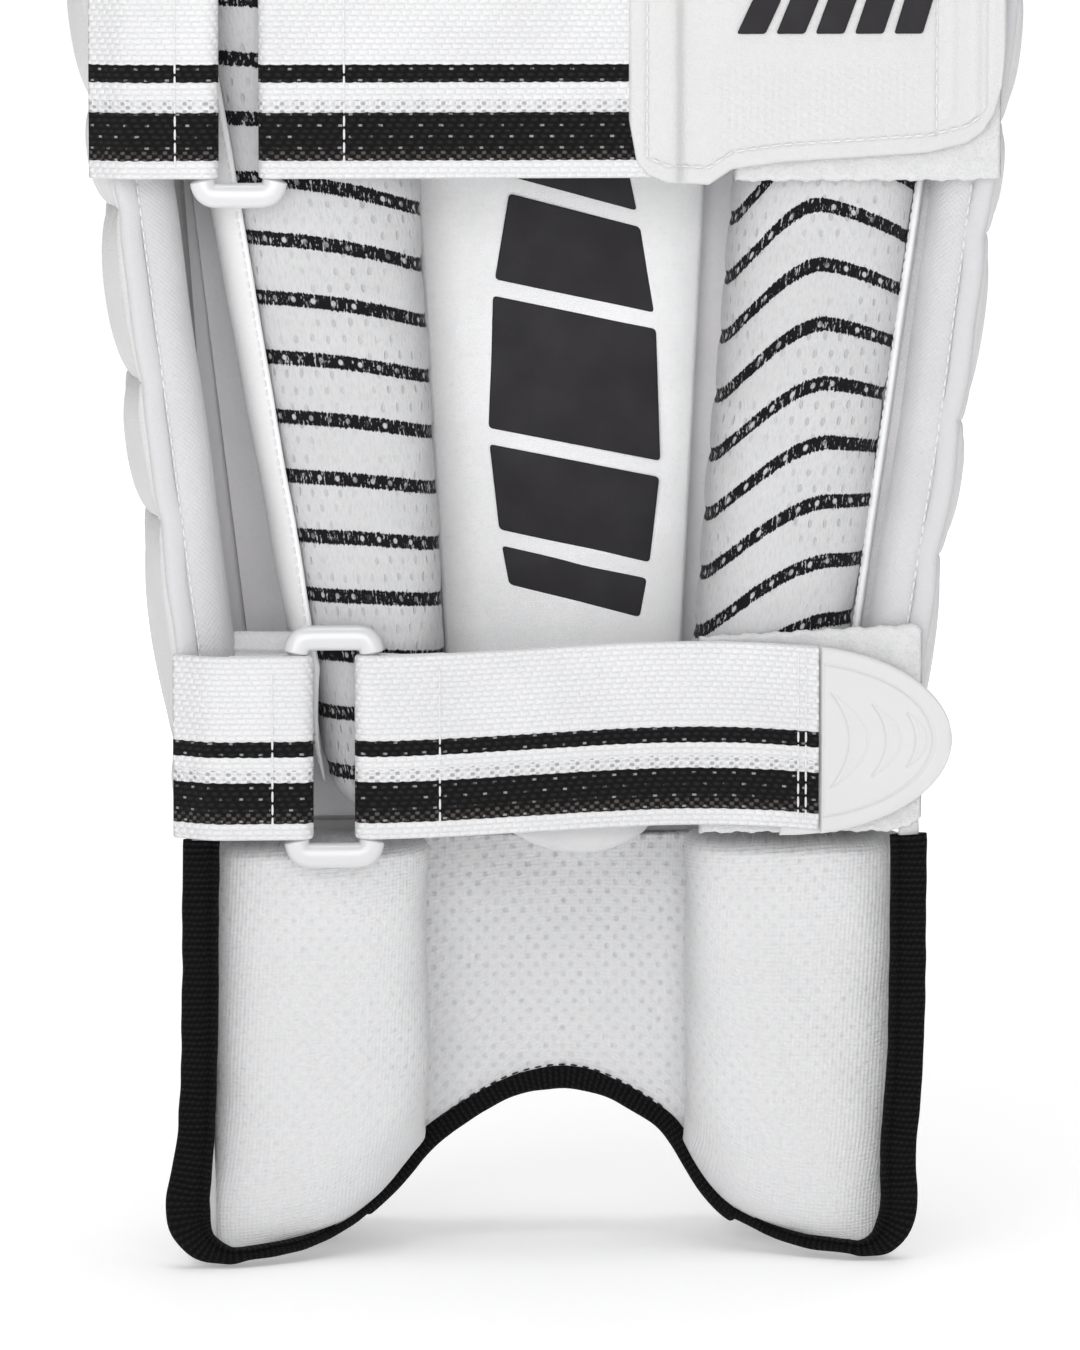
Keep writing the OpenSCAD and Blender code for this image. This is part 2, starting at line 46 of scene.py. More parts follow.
class Mat:
    """A node material built by short calls; every input is a number, a colour or a socket."""

    def __init__(self, name, spec=0.5):
        self.spec = spec
        self.m = bpy.data.materials.new(name)
        self.m.use_nodes = True
        self.t = self.m.node_tree
        self.t.nodes.clear()
        self.out = self.t.nodes.new("ShaderNodeOutputMaterial")
        self.coord = self.t.nodes.new("ShaderNodeTexCoord")

    def put(self, socket, value):
        if isinstance(value, bpy.types.NodeSocket):
            self.t.links.new(value, socket)
        elif isinstance(value, (tuple, list)) and len(value) == 3 and socket.type == "RGBA":
            socket.default_value = (*value, 1)
        else:
            socket.default_value = value

    def n(self, kind, out=0, attrs=None, **ins):
        node = self.t.nodes.new("ShaderNode" + kind)
        for k, v in (attrs or {}).items():
            setattr(node, k, v)
        for k, v in ins.items():
            key = int(k[1:]) if k[0] == "i" and k[1:].isdigit() else k.replace("_", " ")
            self.put(node.inputs[key], v)
        return node.outputs[out]

    def math(self, op, a, b=0.0, c=0.0):
        return self.n("Math", attrs={"operation": op}, i0=a, i1=b, i2=c)

    def uv(self, name="UVMap"):
        s = self.n("UVMap", attrs={"uv_map": name})
        node = self.t.nodes.new("ShaderNodeSeparateXYZ")
        self.put(node.inputs[0], s)
        return node.outputs[0], node.outputs[1]

    def attr(self, name):
        return self.n("Attribute", out=2, attrs={"attribute_name": name})

    def noise(self, scale, detail=3.0, rough=0.5, vec=None, out=0):
        return self.n("TexNoise", out=out, Vector=vec or self.coord.outputs["Object"], Scale=scale, Detail=detail, Roughness=rough)

    def step(self, x, lo, hi, a=0.0, b=1.0):
        return self.n("MapRange", attrs={"interpolation_type": "SMOOTHSTEP"}, i0=x, i1=lo, i2=hi, i3=a, i4=b)

    def mix(self, f, a, b):
        return self.n("Mix", out=2, attrs={"data_type": "RGBA"}, i0=f, i6=a, i7=b)

    def bump(self, h, dist, strength=1.0, normal=None):
        node = self.t.nodes.new("ShaderNodeBump")
        self.put(node.inputs["Height"], h)
        node.inputs["Distance"].default_value = dist
        node.inputs["Strength"].default_value = strength
        if normal is not None:
            self.put(node.inputs["Normal"], normal)
        return node.outputs[0]

    def done(self, **ins):
        b = self.t.nodes.new("ShaderNodeBsdfPrincipled")
        b.inputs["Specular IOR Level"].default_value = self.spec
        for k, v in ins.items():
            self.put(b.inputs[k.replace("_", " ")], v)
        self.t.links.new(b.outputs[0], self.out.inputs[0])
        return self.m


def leather(name, col, rough=0.42, grain=1.0):
    m = Mat(name)
    big = m.noise(14.0, 3.0)
    tone = m.step(big, 0.3, 0.7)
    dark = tuple(c * 0.965 for c in col)
    vor = m.n("TexVoronoi", attrs={"feature": "DISTANCE_TO_EDGE"}, Vector=m.coord.outputs["Object"], Scale=1050.0)
    fine = m.noise(2600.0, 2.0)
    h = m.math("ADD", m.step(vor, 0.0, 0.25), m.math("MULTIPLY", fine, 0.5))
    nrm = m.bump(m.noise(120.0, 4.0), 0.0006, 0.35)
    nrm = m.bump(h, 0.00012 * grain, 0.55, nrm)
    r = m.n("MapRange", i0=m.noise(60.0, 3.0), i1=0.3, i2=0.7, i3=rough - 0.05, i4=rough + 0.08)
    return m.done(Base_Color=m.mix(tone, dark, col), Roughness=r, Normal=nrm, Coat_Weight=0.06, Coat_Roughness=0.35)


def lining(name, col, pitch=0.0011, sheen=0.1):
    m = Mat(name, 0.12)
    u, v = m.uv()
    k = 2 * pi / pitch
    a = m.math("SINE", m.math("MULTIPLY", u, k))
    b = m.math("SINE", m.math("MULTIPLY", v, k))
    knit = m.math("MULTIPLY", a, b)
    fuzz = m.noise(900.0, 4.0, 0.6)
    h = m.math("ADD", m.math("MULTIPLY", knit, 0.35), fuzz)
    cloud = m.step(m.noise(26.0, 4.0, 0.6), 0.3, 0.7)
    dark = tuple(c * 0.93 for c in col)
    colour = m.mix(cloud, dark, col)
    colour = m.mix(m.step(fuzz, 0.25, 0.5, 0.45, 0.0), colour, tuple(c * 0.86 for c in col))
    return m.done(Base_Color=colour, Roughness=0.86, Sheen_Weight=sheen, Sheen_Roughness=0.5,
                  Normal=m.bump(h, 0.00035, 0.5, m.bump(m.noise(90.0, 3.0), 0.0012, 0.4)))


def knit(name, col, striped=False):
    """Soft openwork knit; the stripe phase is in the mesh's second UV layer."""
    m = Mat(name, 0.12)
    u, v = m.uv()
    wales = m.n("TexNoise", Vector=m.n("CombineXYZ", i0=m.math("MULTIPLY", u, 1700.0), i1=m.math("MULTIPLY", v, 420.0)), Scale=1.0, Detail=3.0, Roughness=0.65)
    fuzz = m.noise(1900.0, 3.0, 0.6)
    drift = m.math("MULTIPLY", m.math("SUBTRACT", m.noise(150.0, 2.0), 0.5), 1.6)
    cu = m.math("COSINE", m.math("ADD", m.math("MULTIPLY", u, 2 * pi / 0.0042), drift))
    cv = m.math("COSINE", m.math("ADD", m.math("MULTIPLY", v, 2 * pi / 0.0090), drift))
    hole = m.math("MULTIPLY", m.step(m.math("MULTIPLY", cu, cv), 0.62, 0.92), m.step(m.noise(55.0, 3.0), 0.36, 0.62))
    cloud = m.step(m.noise(30.0, 4.0, 0.6), 0.3, 0.7)
    base = m.mix(cloud, tuple(c * 0.95 for c in col), col)
    # painted shade: the knit is darker in the grooves between its wales and darker still in its holes
    colour = m.mix(m.step(wales, 0.36, 0.56, 0.30, 0.0), base, tuple(c * 0.70 for c in col))
    colour = m.mix(m.math("MULTIPLY", hole, 0.42), colour, tuple(c * 0.55 for c in col))
    h = m.math("SUBTRACT", m.math("ADD", wales, m.math("MULTIPLY", fuzz, 0.4)), m.math("MULTIPLY", hole, 0.9))
    if striped:
        p, s = m.uv("Stripe")
        tick = m.n("TexNoise", Vector=m.n("CombineXYZ", i0=m.math("MULTIPLY", u, 1500.0), i1=m.math("MULTIPLY", v, 260.0)), Scale=1.0, Detail=2.0, Roughness=0.8)
        ph = m.math("SUBTRACT", m.math("FRACT", m.math("ADD", s, 0.5)), 0.5)
        d = m.math("ABSOLUTE", ph)
        ragged = m.math("ADD", d, m.math("MULTIPLY", m.math("SUBTRACT", tick, 0.5), 0.13))
        band = m.step(ragged, 0.112, 0.126, 1.0, 0.0)
        ticks = m.step(m.math("ADD", tick, m.math("MULTIPLY", m.noise(1300.0, 2.0), 0.35)), 0.76, 0.84, 1.0, 0.25)
        eye = m.math("DIVIDE", m.math("SUBTRACT", m.math("FRACT", m.math("MULTIPLY", u, 1 / 0.0051)), 0.5), 0.19)
        rad = m.math("SQRT", m.math("ADD", m.math("MULTIPLY", eye, eye), m.math("POWER", m.math("DIVIDE", ph, 0.075), 2.0)))
        seen = m.step(m.noise(85.0, 2.0), 0.40, 0.55)
        eyelet = m.math("MULTIPLY", m.step(rad, 0.5, 0.8, 1.0, 0.0), seen)
        thread = m.math("MULTIPLY", m.math("MULTIPLY", band, ticks), m.math("SUBTRACT", 1.0, m.math("MULTIPLY", eyelet, 0.85)))
        colour = m.mix(thread, colour, (0.009, 0.008, 0.010))
        h = m.math("ADD", h, m.math("MULTIPLY", band, m.math("SUBTRACT", 0.5, m.math("MULTIPLY", eyelet, 0.7))))
    return m.done(Base_Color=colour, Roughness=0.9, Sheen_Weight=0.04, Sheen_Roughness=0.5,
                  Normal=m.bump(h, 0.0005, 0.75, m.bump(m.noise(70.0, 3.0), 0.001, 0.35)))


def webbing(name, rows):
    """Basket weave webbing. rows: (from, to, kind) across the width in metres from the lower edge."""
    m = Mat(name, 0.12)
    u, v = m.uv()
    sway = m.math("MULTIPLY", m.math("SUBTRACT", m.noise(260.0, 2.0), 0.5), 0.0009)
    u0, v0 = u, v
    u, v = m.math("ADD", u, sway), m.math("ADD", v, m.math("MULTIPLY", sway, 0.35))
    row = m.math("MULTIPLY", v, 1 / 0.00145)
    idx = m.math("FLOOR", row)
    # each row is shifted, so that the picks climb in short slanting steps
    shift = m.math("MULTIPLY", m.math("MODULO", idx, 3.0), 1 / 3.0)
    a = m.math("FRACT", m.math("ADD", m.math("MULTIPLY", u, 1 / 0.0026), shift))
    across = m.math("SINE", m.math("MULTIPLY", m.math("FRACT", row), pi))
    along = m.math("POWER", m.math("ABSOLUTE", m.math("SINE", m.math("MULTIPLY", a, pi))), 0.8)
    h = m.math("ADD", m.math("MULTIPLY", across, along), m.math("MULTIPLY", m.math("SINE", m.math("MULTIPLY", m.math("SUBTRACT", a, 0.5), pi)), 0.25))
    fibre = m.n("TexNoise", Vector=m.n("CombineXYZ", i0=m.math("MULTIPLY", u, 900.0), i1=m.math("MULTIPLY", v, 3200.0)), Scale=1.0, Detail=3.0, Roughness=0.7)
    # painted shade: the low gaps between the picks are darker
    gap = m.step(h, 0.0, 0.55, 1.0, 0.0)
    cloud = m.step(m.noise(40.0, 3.0), 0.3, 0.7)
    colour = m.mix(cloud, (0.77, 0.77, 0.78), (0.82, 0.82, 0.83))
    colour = m.mix(m.math("MULTIPLY", gap, 0.20), colour, (0.60, 0.60, 0.62))
    colour = m.mix(m.step(fibre, 0.3, 0.6, 0.10, 0.0), colour, (0.50, 0.50, 0.52))
    pin = m.math("MULTIPLY", m.step(m.math("MODULO", idx, 2.0), 0.4, 0.6), m.step(m.math("ABSOLUTE", m.math("SUBTRACT", m.math("FRACT", m.math("ADD", m.math("MULTIPLY", u, 1 / 0.0052), m.math("MULTIPLY", m.math("MODULO", m.math("MULTIPLY", idx, 0.5), 2.0), 0.5))), 0.5)), 0.07, 0.12, 1.0, 0.0))
    pin = m.math("MULTIPLY", pin, m.step(across, 0.75, 0.9))
    pin = m.math("MULTIPLY", pin, m.step(m.noise(420.0, 2.0), 0.38, 0.6))
    checker = m.step(m.math("MULTIPLY", m.math("SINE", m.math("MULTIPLY", u, pi / 0.0013)), m.math("SINE", m.math("MULTIPLY", v, pi / 0.00105))), -0.1, 0.55)
    checker = m.math("MULTIPLY", checker, m.step(m.math("SINE", m.math("MULTIPLY", u0, 2 * pi / 0.0052)), -0.9, 0.4, 0.35, 1.0))
    vv = m.math("ADD", v, m.math("MULTIPLY", m.math("SUBTRACT", m.math("ABSOLUTE", m.math("SINE", m.math("MULTIPLY", u, pi / 0.0031))), 0.5), 0.00018))
    # the black ink is a little lighter on the picks' crests: painted highlight
    dark = m.mix(m.math("MULTIPLY", pin, 0.6), m.mix(m.step(m.math("MULTIPLY", h, fibre), 0.2, 0.5), (0.006, 0.006, 0.0065), (0.018, 0.0175, 0.0185)), (0.50, 0.50, 0.51))
    ink = {"black": dark, "grey": (0.36, 0.36, 0.37), "brown": (0.17, 0.145, 0.13)}
    for lo, hi, kind in rows:
        band = m.math("MULTIPLY", m.step(vv, lo - 0.0001, lo + 0.0001), m.step(vv, hi - 0.0001, hi + 0.0001, 1.0, 0.0))
        if kind != "black":
            band = m.math("MULTIPLY", band, m.math("MULTIPLY", checker, 0.9 if kind == "grey" else 0.55))
        colour = m.mix(band, colour, ink[kind])
    nrm = m.bump(m.noise(45.0, 2.0), 0.001, 0.3)
    return m.done(Base_Color=colour, Roughness=0.8, Sheen_Weight=0.02,
                  Normal=m.bump(m.math("ADD", h, m.math("MULTIPLY", fibre, 0.3)), 0.0005, 0.8, nrm))


def plain(name, col, rough, fine=1500.0, depth=0.00008, coat=0.0, sheen=0.0, mottle=0.04, wave=0.3, spec=0.5):
    m = Mat(name, spec)
    tone = m.step(m.noise(22.0, 4.0), 0.3, 0.7)
    r = m.n("MapRange", i0=m.noise(80.0, 3.0), i1=0.3, i2=0.7, i3=rough * 0.85, i4=min(1.0, rough * 1.15))
    nrm = m.bump(m.noise(fine, 3.0), depth, 0.6, m.bump(m.noise(60.0, 2.0), 0.0006, wave))
    return m.done(Base_Color=m.mix(tone, tuple(c * (1 - mottle) for c in col), col), Roughness=r, Normal=nrm, Coat_Weight=coat,
                  Coat_Roughness=0.08, Sheen_Weight=sheen)


def pile(name, col):
    m = Mat(name, 0.12)
    fine = m.noise(1300.0, 5.0, 0.75)
    mid = m.noise(330.0, 3.0, 0.6)
    colour = m.mix(m.step(fine, 0.3, 0.58), tuple(c * 0.88 for c in col), col)
    colour = m.mix(m.step(mid, 0.35, 0.65, 0.25, 0.0), colour, tuple(c * 0.8 for c in col))
    return m.done(Base_Color=colour, Roughness=0.95, Sheen_Weight=0.5, Sheen_Roughness=0.4,
                  Normal=m.bump(m.math("ADD", fine, mid), 0.0011, 0.9))


def tape(name, col):
    m = Mat(name, 0.12)
    u, v = m.uv()
    row = m.math("MULTIPLY", v, 1 / 0.0016)
    rib = m.math("SINE", m.math("MULTIPLY", m.math("FRACT", row), pi))
    ply = m.math("SINE", m.math("MULTIPLY", m.math("ADD", m.math("MULTIPLY", u, 1 / 0.0013), m.math("MULTIPLY", row, 0.5)), 2 * pi))
    h = m.math("MULTIPLY", rib, m.math("ADD", 1.0, m.math("MULTIPLY", ply, 0.22)))
    fibre = m.noise(1900.0, 3.0, 0.7)
    # painted highlight: the tape is lighter on the crests of its ribs
    lit = m.step(m.math("ADD", h, m.math("MULTIPLY", fibre, 0.6)), 0.85, 1.45, 0.0, 0.6)
    return m.done(Base_Color=m.mix(lit, col, (0.018, 0.017, 0.018)), Roughness=0.85, Sheen_Weight=0.01, Sheen_Roughness=0.4,
                  Normal=m.bump(m.math("ADD", h, m.math("MULTIPLY", fibre, 0.4)), 0.0006, 0.9, m.bump(m.noise(150.0, 3.0), 0.0008, 0.4)))


def meshed(name, col, deep):
    """Spacer mesh whose holes are in the geometry: the attribute deep darkens them with painted shade."""
    m = Mat(name, 0.12)
    u, v = m.uv()
    d = m.attr("deep")
    fibre = m.n("TexNoise", Vector=m.n("CombineXYZ", i0=m.math("MULTIPLY", u, 620.0), i1=m.math("MULTIPLY", v, 1900.0)), Scale=1.0, Detail=3.0, Roughness=0.7)
    # painted shade: the deeper a hole, the closer its colour to the dark second colour
    colour = m.mix(m.math("MULTIPLY", d, m.step(fibre, 0.34, 0.62, 0.12, 1.0)), col, deep)
    bead = m.math("MULTIPLY", m.math("SINE", m.math("MULTIPLY", m.math("ADD", u, v), 2 * pi / 0.0024)), m.math("SINE", m.math("MULTIPLY", m.math("SUBTRACT", v, u), 2 * pi / 0.0021)))
    colour = m.mix(m.step(fibre, 0.32, 0.58, 0.24, 0.0), colour, tuple(c * 0.72 for c in col))
    return m.done(Base_Color=colour, Roughness=0.88, Sheen_Weight=0.05,
                  Normal=m.bump(m.math("ADD", fibre, m.math("MULTIPLY", bead, 0.3)), 0.0005, 0.8))


WHITE = (0.82, 0.82, 0.815)
MT = {
    "pu_white": leather("pu_white", (0.66, 0.66, 0.66), 0.46),
    "pu_trim": leather("pu_trim", (0.88, 0.88, 0.885), 0.55, 0.7),
    "welt": leather("welt", (0.62, 0.615, 0.63), 0.62, 0.7),
    "lining": lining("lining", (0.95, 0.935, 0.955)),
    "brushed": lining("brushed", (0.65, 0.645, 0.66), 0.0014, 0.1),
    "panel": lining("panel", (0.95, 0.95, 0.96), 0.0008, 0.1),
    "knit_mesh": knit("knit_mesh", (0.64, 0.64, 0.65), True),
    "knit_plain": knit("knit_plain", (0.64, 0.64, 0.65)),
    # the second colour is the painted shade in the mesh's holes
    "spacer_mesh": meshed("spacer_mesh", (0.77, 0.77, 0.78), (0.46, 0.46, 0.48)),
    "black_tape": tape("black_tape", (0.003, 0.003, 0.0033)),
    "ring_plastic": plain("ring_plastic", (0.66, 0.66, 0.67), 0.24, 700.0, 0.00002, 0.5, 0, 0.01, 0.15),
    "tab_plastic": plain("tab_plastic", (0.66, 0.66, 0.66), 0.5, 1800.0, 0.00006),
    "hook": pile("hook", (0.78, 0.78, 0.80)),
    "loop": pile("loop", (0.97, 0.97, 0.98)),
    "board": plain("board", (0.80, 0.79, 0.80), 0.6, spec=0.2),
    "cane": plain("cane", (0.62, 0.44, 0.22), 0.55, 500.0, 0.0002, 0, 0, 0.2),
    "thread": plain("thread", (0.78, 0.78, 0.79), 0.7, 3000.0, 0.0002, 0, 0.2),
    "ink": plain("ink", (0.02, 0.018, 0.021), 0.62, 1600.0, 0.0001, 0, 0.0, spec=0.25),
    "web_ankle": webbing("web_ankle", [(0.0044, 0.0151, "black"), (0.0044, 0.0072, "brown"), (0.0151, 0.0183, "grey"), (0.0217, 0.0258, "black")]),
    "web_calf": webbing("web_calf", [(0.0047, 0.0171, "black"), (0.0047, 0.0072, "brown"), (0.0171, 0.0203, "grey"), (0.0248, 0.0294, "black")]),
}

# ---------------------------------------------------------------- mesh code


def wave(P, amp, size, seed=0.0):
    """Smooth seeded unevenness, from -amp to amp, at that size in mm."""
    k = 2 * pi / size
    x, y, z = P[..., 0], P[..., 1], P[..., 2]
    s = seed * 7.13
    return amp * (np.sin(k * (x + 0.6 * z) + s) + np.sin(k * (0.83 * z - 0.7 * y) + 2.1 * s + 1.3) + np.sin(k * (0.57 * x - 0.9 * z + y) + 0.7 * s + 4.0)) / 3


def grid_normals(P, wrap):
    if wrap:
        du = np.roll(P[:, :-1], -1, 1) - np.roll(P[:, :-1], 1, 1)
        du = np.concatenate([du, du[:, :1]], 1)
    else:
        du = np.gradient(P, axis=1)
    n = np.cross(du, np.gradient(P, axis=0))
    return n / np.maximum(np.linalg.norm(n, axis=-1, keepdims=True), 1e-9)


def mesh_of(name, V, F, uv=None, stripe=None, attrs=None, weld=True):
    """Mesh from points in mm; equal points become one vertex and all faces look outward."""
    V = np.asarray(V, float)
    corners = np.array([len(f) for f in F])
    idx = np.concatenate([np.asarray(f, int) for f in F]) if not isinstance(F, np.ndarray) else F.ravel()
    keep, vert = np.arange(len(V)), np.arange(len(V))
    if weld:
        _, keep, vert = np.unique(np.round(V * 2000).astype(np.int64), axis=0, return_index=True, return_inverse=True)
        vert = vert.ravel()
        q = vert[idx].reshape(-1, 4)
        twin = q == np.roll(q, -1, 1)
        good = (twin.sum(1) < 2) & (q[:, 0] != q[:, 2]) & (q[:, 1] != q[:, 3])
        use = (~twin & good[:, None])
        corners = use.sum(1)[good]
        idx = idx[use.ravel()]
    start = np.concatenate([[0], np.cumsum(corners)[:-1]])
    P = (V[keep] + [0, SHIFT, 0]) / 1000
    loop = vert[idx]
    vol = 0.0
    for k in range(1, int(corners.max()) - 1):
        f = start[corners > k + 1]
        vol += np.einsum("ij,ij->i", P[loop[f]], np.cross(P[loop[f + k]], P[loop[f + k + 1]])).sum()
    if vol < 0:
        order = np.concatenate([np.arange(s, s + c)[::-1] for s, c in zip(start, corners)])
        idx, loop = idx[order], loop[order]
    me = bpy.data.meshes.new(name)
    me.vertices.add(len(P))
    me.vertices.foreach_set("co", P.ravel())
    me.loops.add(len(loop))
    me.loops.foreach_set("vertex_index", loop.astype(np.int32))
    me.polygons.add(len(start))
    me.polygons.foreach_set("loop_start", start.astype(np.int32))
    me.polygons.foreach_set("use_smooth", [True] * len(start))
    for layer, data in (("UVMap", uv), ("Stripe", stripe)):
        if data is not None:
            me.uv_layers.new(name=layer).data.foreach_set("uv", np.asarray(data, float)[idx].ravel())
    for k, v in (attrs or {}).items():
        me.attributes.new(k, "FLOAT", "POINT").data.foreach_set("value", np.asarray(v, float).ravel()[keep])
    me.update(calc_edges=True)
    me.validate()
    return me


def piece(name, me, body, mat, rep=()):
    o = bpy.data.objects.new(name, me)
    bpy.context.scene.collection.objects.link(o)
    me.materials.append(MT[mat])
    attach(o, body)
    if rep:
        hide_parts(*rep)
    return o


def grid_faces(n, m, base=0):
    i, j = np.meshgrid(np.arange(n - 1), np.arange(m - 1), indexing="ij")
    a = (base + i * m + j).ravel()
    return np.stack([a, a + 1, a + m + 1, a + m], 1)


def skin(name, P, uv, body, mat, rep=(), stripe=None, attrs=None, caps=True):
    """A closed tube of rings P[ring, point]; its last point repeats its first, and its ends close to a point."""
    P = np.asarray(P, float)
    lo, hi = (caps, caps) if isinstance(caps, bool) else caps
    pad = lambda a: np.concatenate(([a[:1]] if lo else []) + [a] + ([a[-1:]] if hi else []))
    first, last = P[0].mean(0), P[-1].mean(0)
    P = pad(P)
    if lo:
        P[0] = first
    if hi:
        P[-1] = last
    uv = pad(uv)
    stripe = None if stripe is None else pad(stripe)
    attrs = {k: pad(v) for k, v in (attrs or {}).items()}
    n, m = P.shape[:2]
    me = mesh_of(name, P.reshape(-1, 3), grid_faces(n, m), uv.reshape(-1, 2), None if stripe is None else stripe.reshape(-1, 2), attrs)
    return piece(name, me, body, mat, rep)


def metric_uv(P):
    """UV in metres: along each ring, and along the rings."""
    du = np.linalg.norm(np.diff(P, axis=1), axis=-1).mean(0)
    dv = np.linalg.norm(np.diff(P, axis=0), axis=-1).mean(1)
    u = np.concatenate([[0], np.cumsum(du)]) / 1000
    v = np.concatenate([[0], np.cumsum(dv)]) / 1000
    return np.stack(np.broadcast_arrays(u[None, :], v[:, None]), -1)


def sell(t, a, b, e):
    c, s = np.cos(t), np.sin(t)
    return a * np.sign(c) * np.abs(c) ** (2 / e), b * np.sign(s) * np.abs(s) ** (2 / e)


def stitches(name, rows, body, step=3.6, long=2.7, r=0.36, mat="thread"):
    """Thread: rows is a list of (path points in mm, outward direction)."""
    V, F = [], []
    for path, out in rows:
        path = np.asarray(path, float)
        seg = np.linalg.norm(np.diff(path, axis=0), axis=1)
        s = np.concatenate([[0], np.cumsum(seg)])
        outs = np.broadcast_to(np.asarray(out, float), path.shape)
        for c in np.arange(step / 2, s[-1], step):
            mid = np.array([np.interp(c, s, path[:, k]) for k in range(3)])
            a = np.array([np.interp(c - 0.6, s, path[:, k]) for k in range(3)])
            b = np.array([np.interp(c + 0.6, s, path[:, k]) for k in range(3)])
            o = np.array([np.interp(c, s, outs[:, k]) for k in range(3)])
            d = (b - a) / max(np.linalg.norm(b - a), 1e-9)
            o = o / np.linalg.norm(o)
            q = np.cross(d, o)
            base = len(V)
            for t, w in ((-0.5, 0.35), (-0.38, 0.85), (0, 1), (0.38, 0.85), (0.5, 0.35)):
                for i in range(6):
                    g = i * pi / 3
                    lift = (1 - (2 * t) ** 2) * 0.3
                    V.append(mid + d * t * long + q * math.cos(g) * r * w + o * (math.sin(g) * r * 0.8 * w + lift * r))
            for k in range(4):
                for i in range(6):
                    F.append([base + k * 6 + i, base + k * 6 + (i + 1) % 6, base + (k + 1) * 6 + (i + 1) % 6, base + (k + 1) * 6 + i])
            F.append([base + i for i in range(5, -1, -1)])
            F.append([base + 24 + i for i in range(6)])
    return piece(name, mesh_of(name, V, F, weld=False), body, mat)


def band(name, path, z0, z1, t, body, mat, slot=None, rep=(), rise=None, cross=26, wobble=0.0):
    """Flat webbing standing on edge along a plan path, with rounded edges. rise(x) lifts it."""
    path = np.asarray(path, float)
    d = np.gradient(path, axis=0)
    d /= np.linalg.norm(d, axis=1, keepdims=True)
    nrm = np.stack([d[:, 1], -d[:, 0]], 1)
    s = np.concatenate([[0], np.cumsum(np.linalg.norm(np.diff(path, axis=0), axis=1))])
    h = np.linspace(0, 1, cross)
    e = np.linspace(0, pi, 7)[1:-1]
    off = np.concatenate([np.full(cross, t / 2), t / 2 * np.cos(e), np.full(cross, -t / 2), -t / 2 * np.cos(e), [t / 2]])
    up = np.concatenate([t / 2 + h * (z1 - z0 - t), z1 - z0 - t / 2 + t / 2 * np.sin(e), (t / 2 + h * (z1 - z0 - t))[::-1],
                         t / 2 - t / 2 * np.sin(e), [t / 2]])
    lift = rise(path[:, 0]) if rise else np.zeros(len(path))
    P = np.empty((len(path), len(off), 3))
    P[..., 0] = path[:, None, 0] + nrm[:, None, 0] * off
    P[..., 1] = path[:, None, 1] + nrm[:, None, 1] * off
    P[..., 2] = z0 + up[None, :] + lift[:, None]
    if wobble:
        P[..., 1] += wave(P * [1, 0, 1], wobble, 47, z0) * np.clip(s / 20, 0, 1)[:, None]
    uv = np.stack(np.broadcast_arrays(s[:, None] / 1000, up[None, :] / 1000), -1)
    return skin(name, P, uv, body, mat, rep)


def arc(cx, cy, r, a0, a1, n):
    a = np.radians(np.linspace(a0, a1, n))
    return np.stack([cx + r * np.cos(a), cy + r * np.sin(a)], 1)


def line(p, q, n):
    return np.linspace(p, q, n)

# ---------------------------------------------------------------- side wings

LEAN = math.radians(7.35)
WING_R, WING_T, WING_A = 128.0, 15.0, 14.2
WING_L = 275.0
SEAMS = {-1: [112.5, 132, 195, 231, 276, 303, 342, 385], 1: [112.5, 130, 185, 220, 269, 298, 337, 385]}


def wing_world(L, s):
    x = (L[..., 0] - WING_R) * math.cos(LEAN) + L[..., 2] * math.sin(LEAN) + 96
    z = -(L[..., 0] - WING_R) * math.sin(LEAN) + L[..., 2] * math.cos(LEAN) + 112.5
    out = np.clip(1.0 + 3.4 * (z - 112.5) / 120, 0, 4.0) if s > 0 else 0.0
    return np.stack([s * x + out, L[..., 1] - 20, z], -1)


def wing_local(r, a, off, h):
    """Point at plan radius r and angle a (degrees), off mm behind it, at height h along the wing."""
    a = np.radians(a)
    return np.stack(np.broadcast_arrays(r * np.cos(a) + off * np.sin(a), r * np.sin(a) - off * np.cos(a), h), -1)


def around(path, t, k=7):
    """Closed plan loop round a path at half thickness t / 2, round at both ends."""
    path = np.asarray(path, float)
    d = np.gradient(path, axis=0)
    d /= np.linalg.norm(d, axis=1, keepdims=True)
    n = np.stack([d[:, 1], -d[:, 0]], 1)
    w = np.broadcast_to(np.asarray(t, float) / 2, (len(path),))[:, None]
    e = np.linspace(0, pi, k)[1:-1, None]
    end = path[-1] + w[-1] * (n[-1] * np.cos(e) + d[-1] * np.sin(e))
    start = path[0] + w[0] * (-n[0] * np.cos(e) - d[0] * np.sin(e))
    loop = np.concatenate([path + n * w, end, (path - n * w)[::-1], start])
    return np.concatenate([loop, loop[:1]])


def lobe_swell(z, seams):
    """0 in a seam, 1 at the middle of a lobe."""
    z = np.asarray(z, float)
    s = np.asarray(seams, float)
    i = np.clip(np.searchsorted(s, z, side="right") - 1, 0, len(s) - 2)
    u = np.clip((z - s[i]) / (s[i + 1] - s[i]), 0, 1)
    return (1 - np.abs(2 * u - 1) ** 2.4) ** 0.55, i


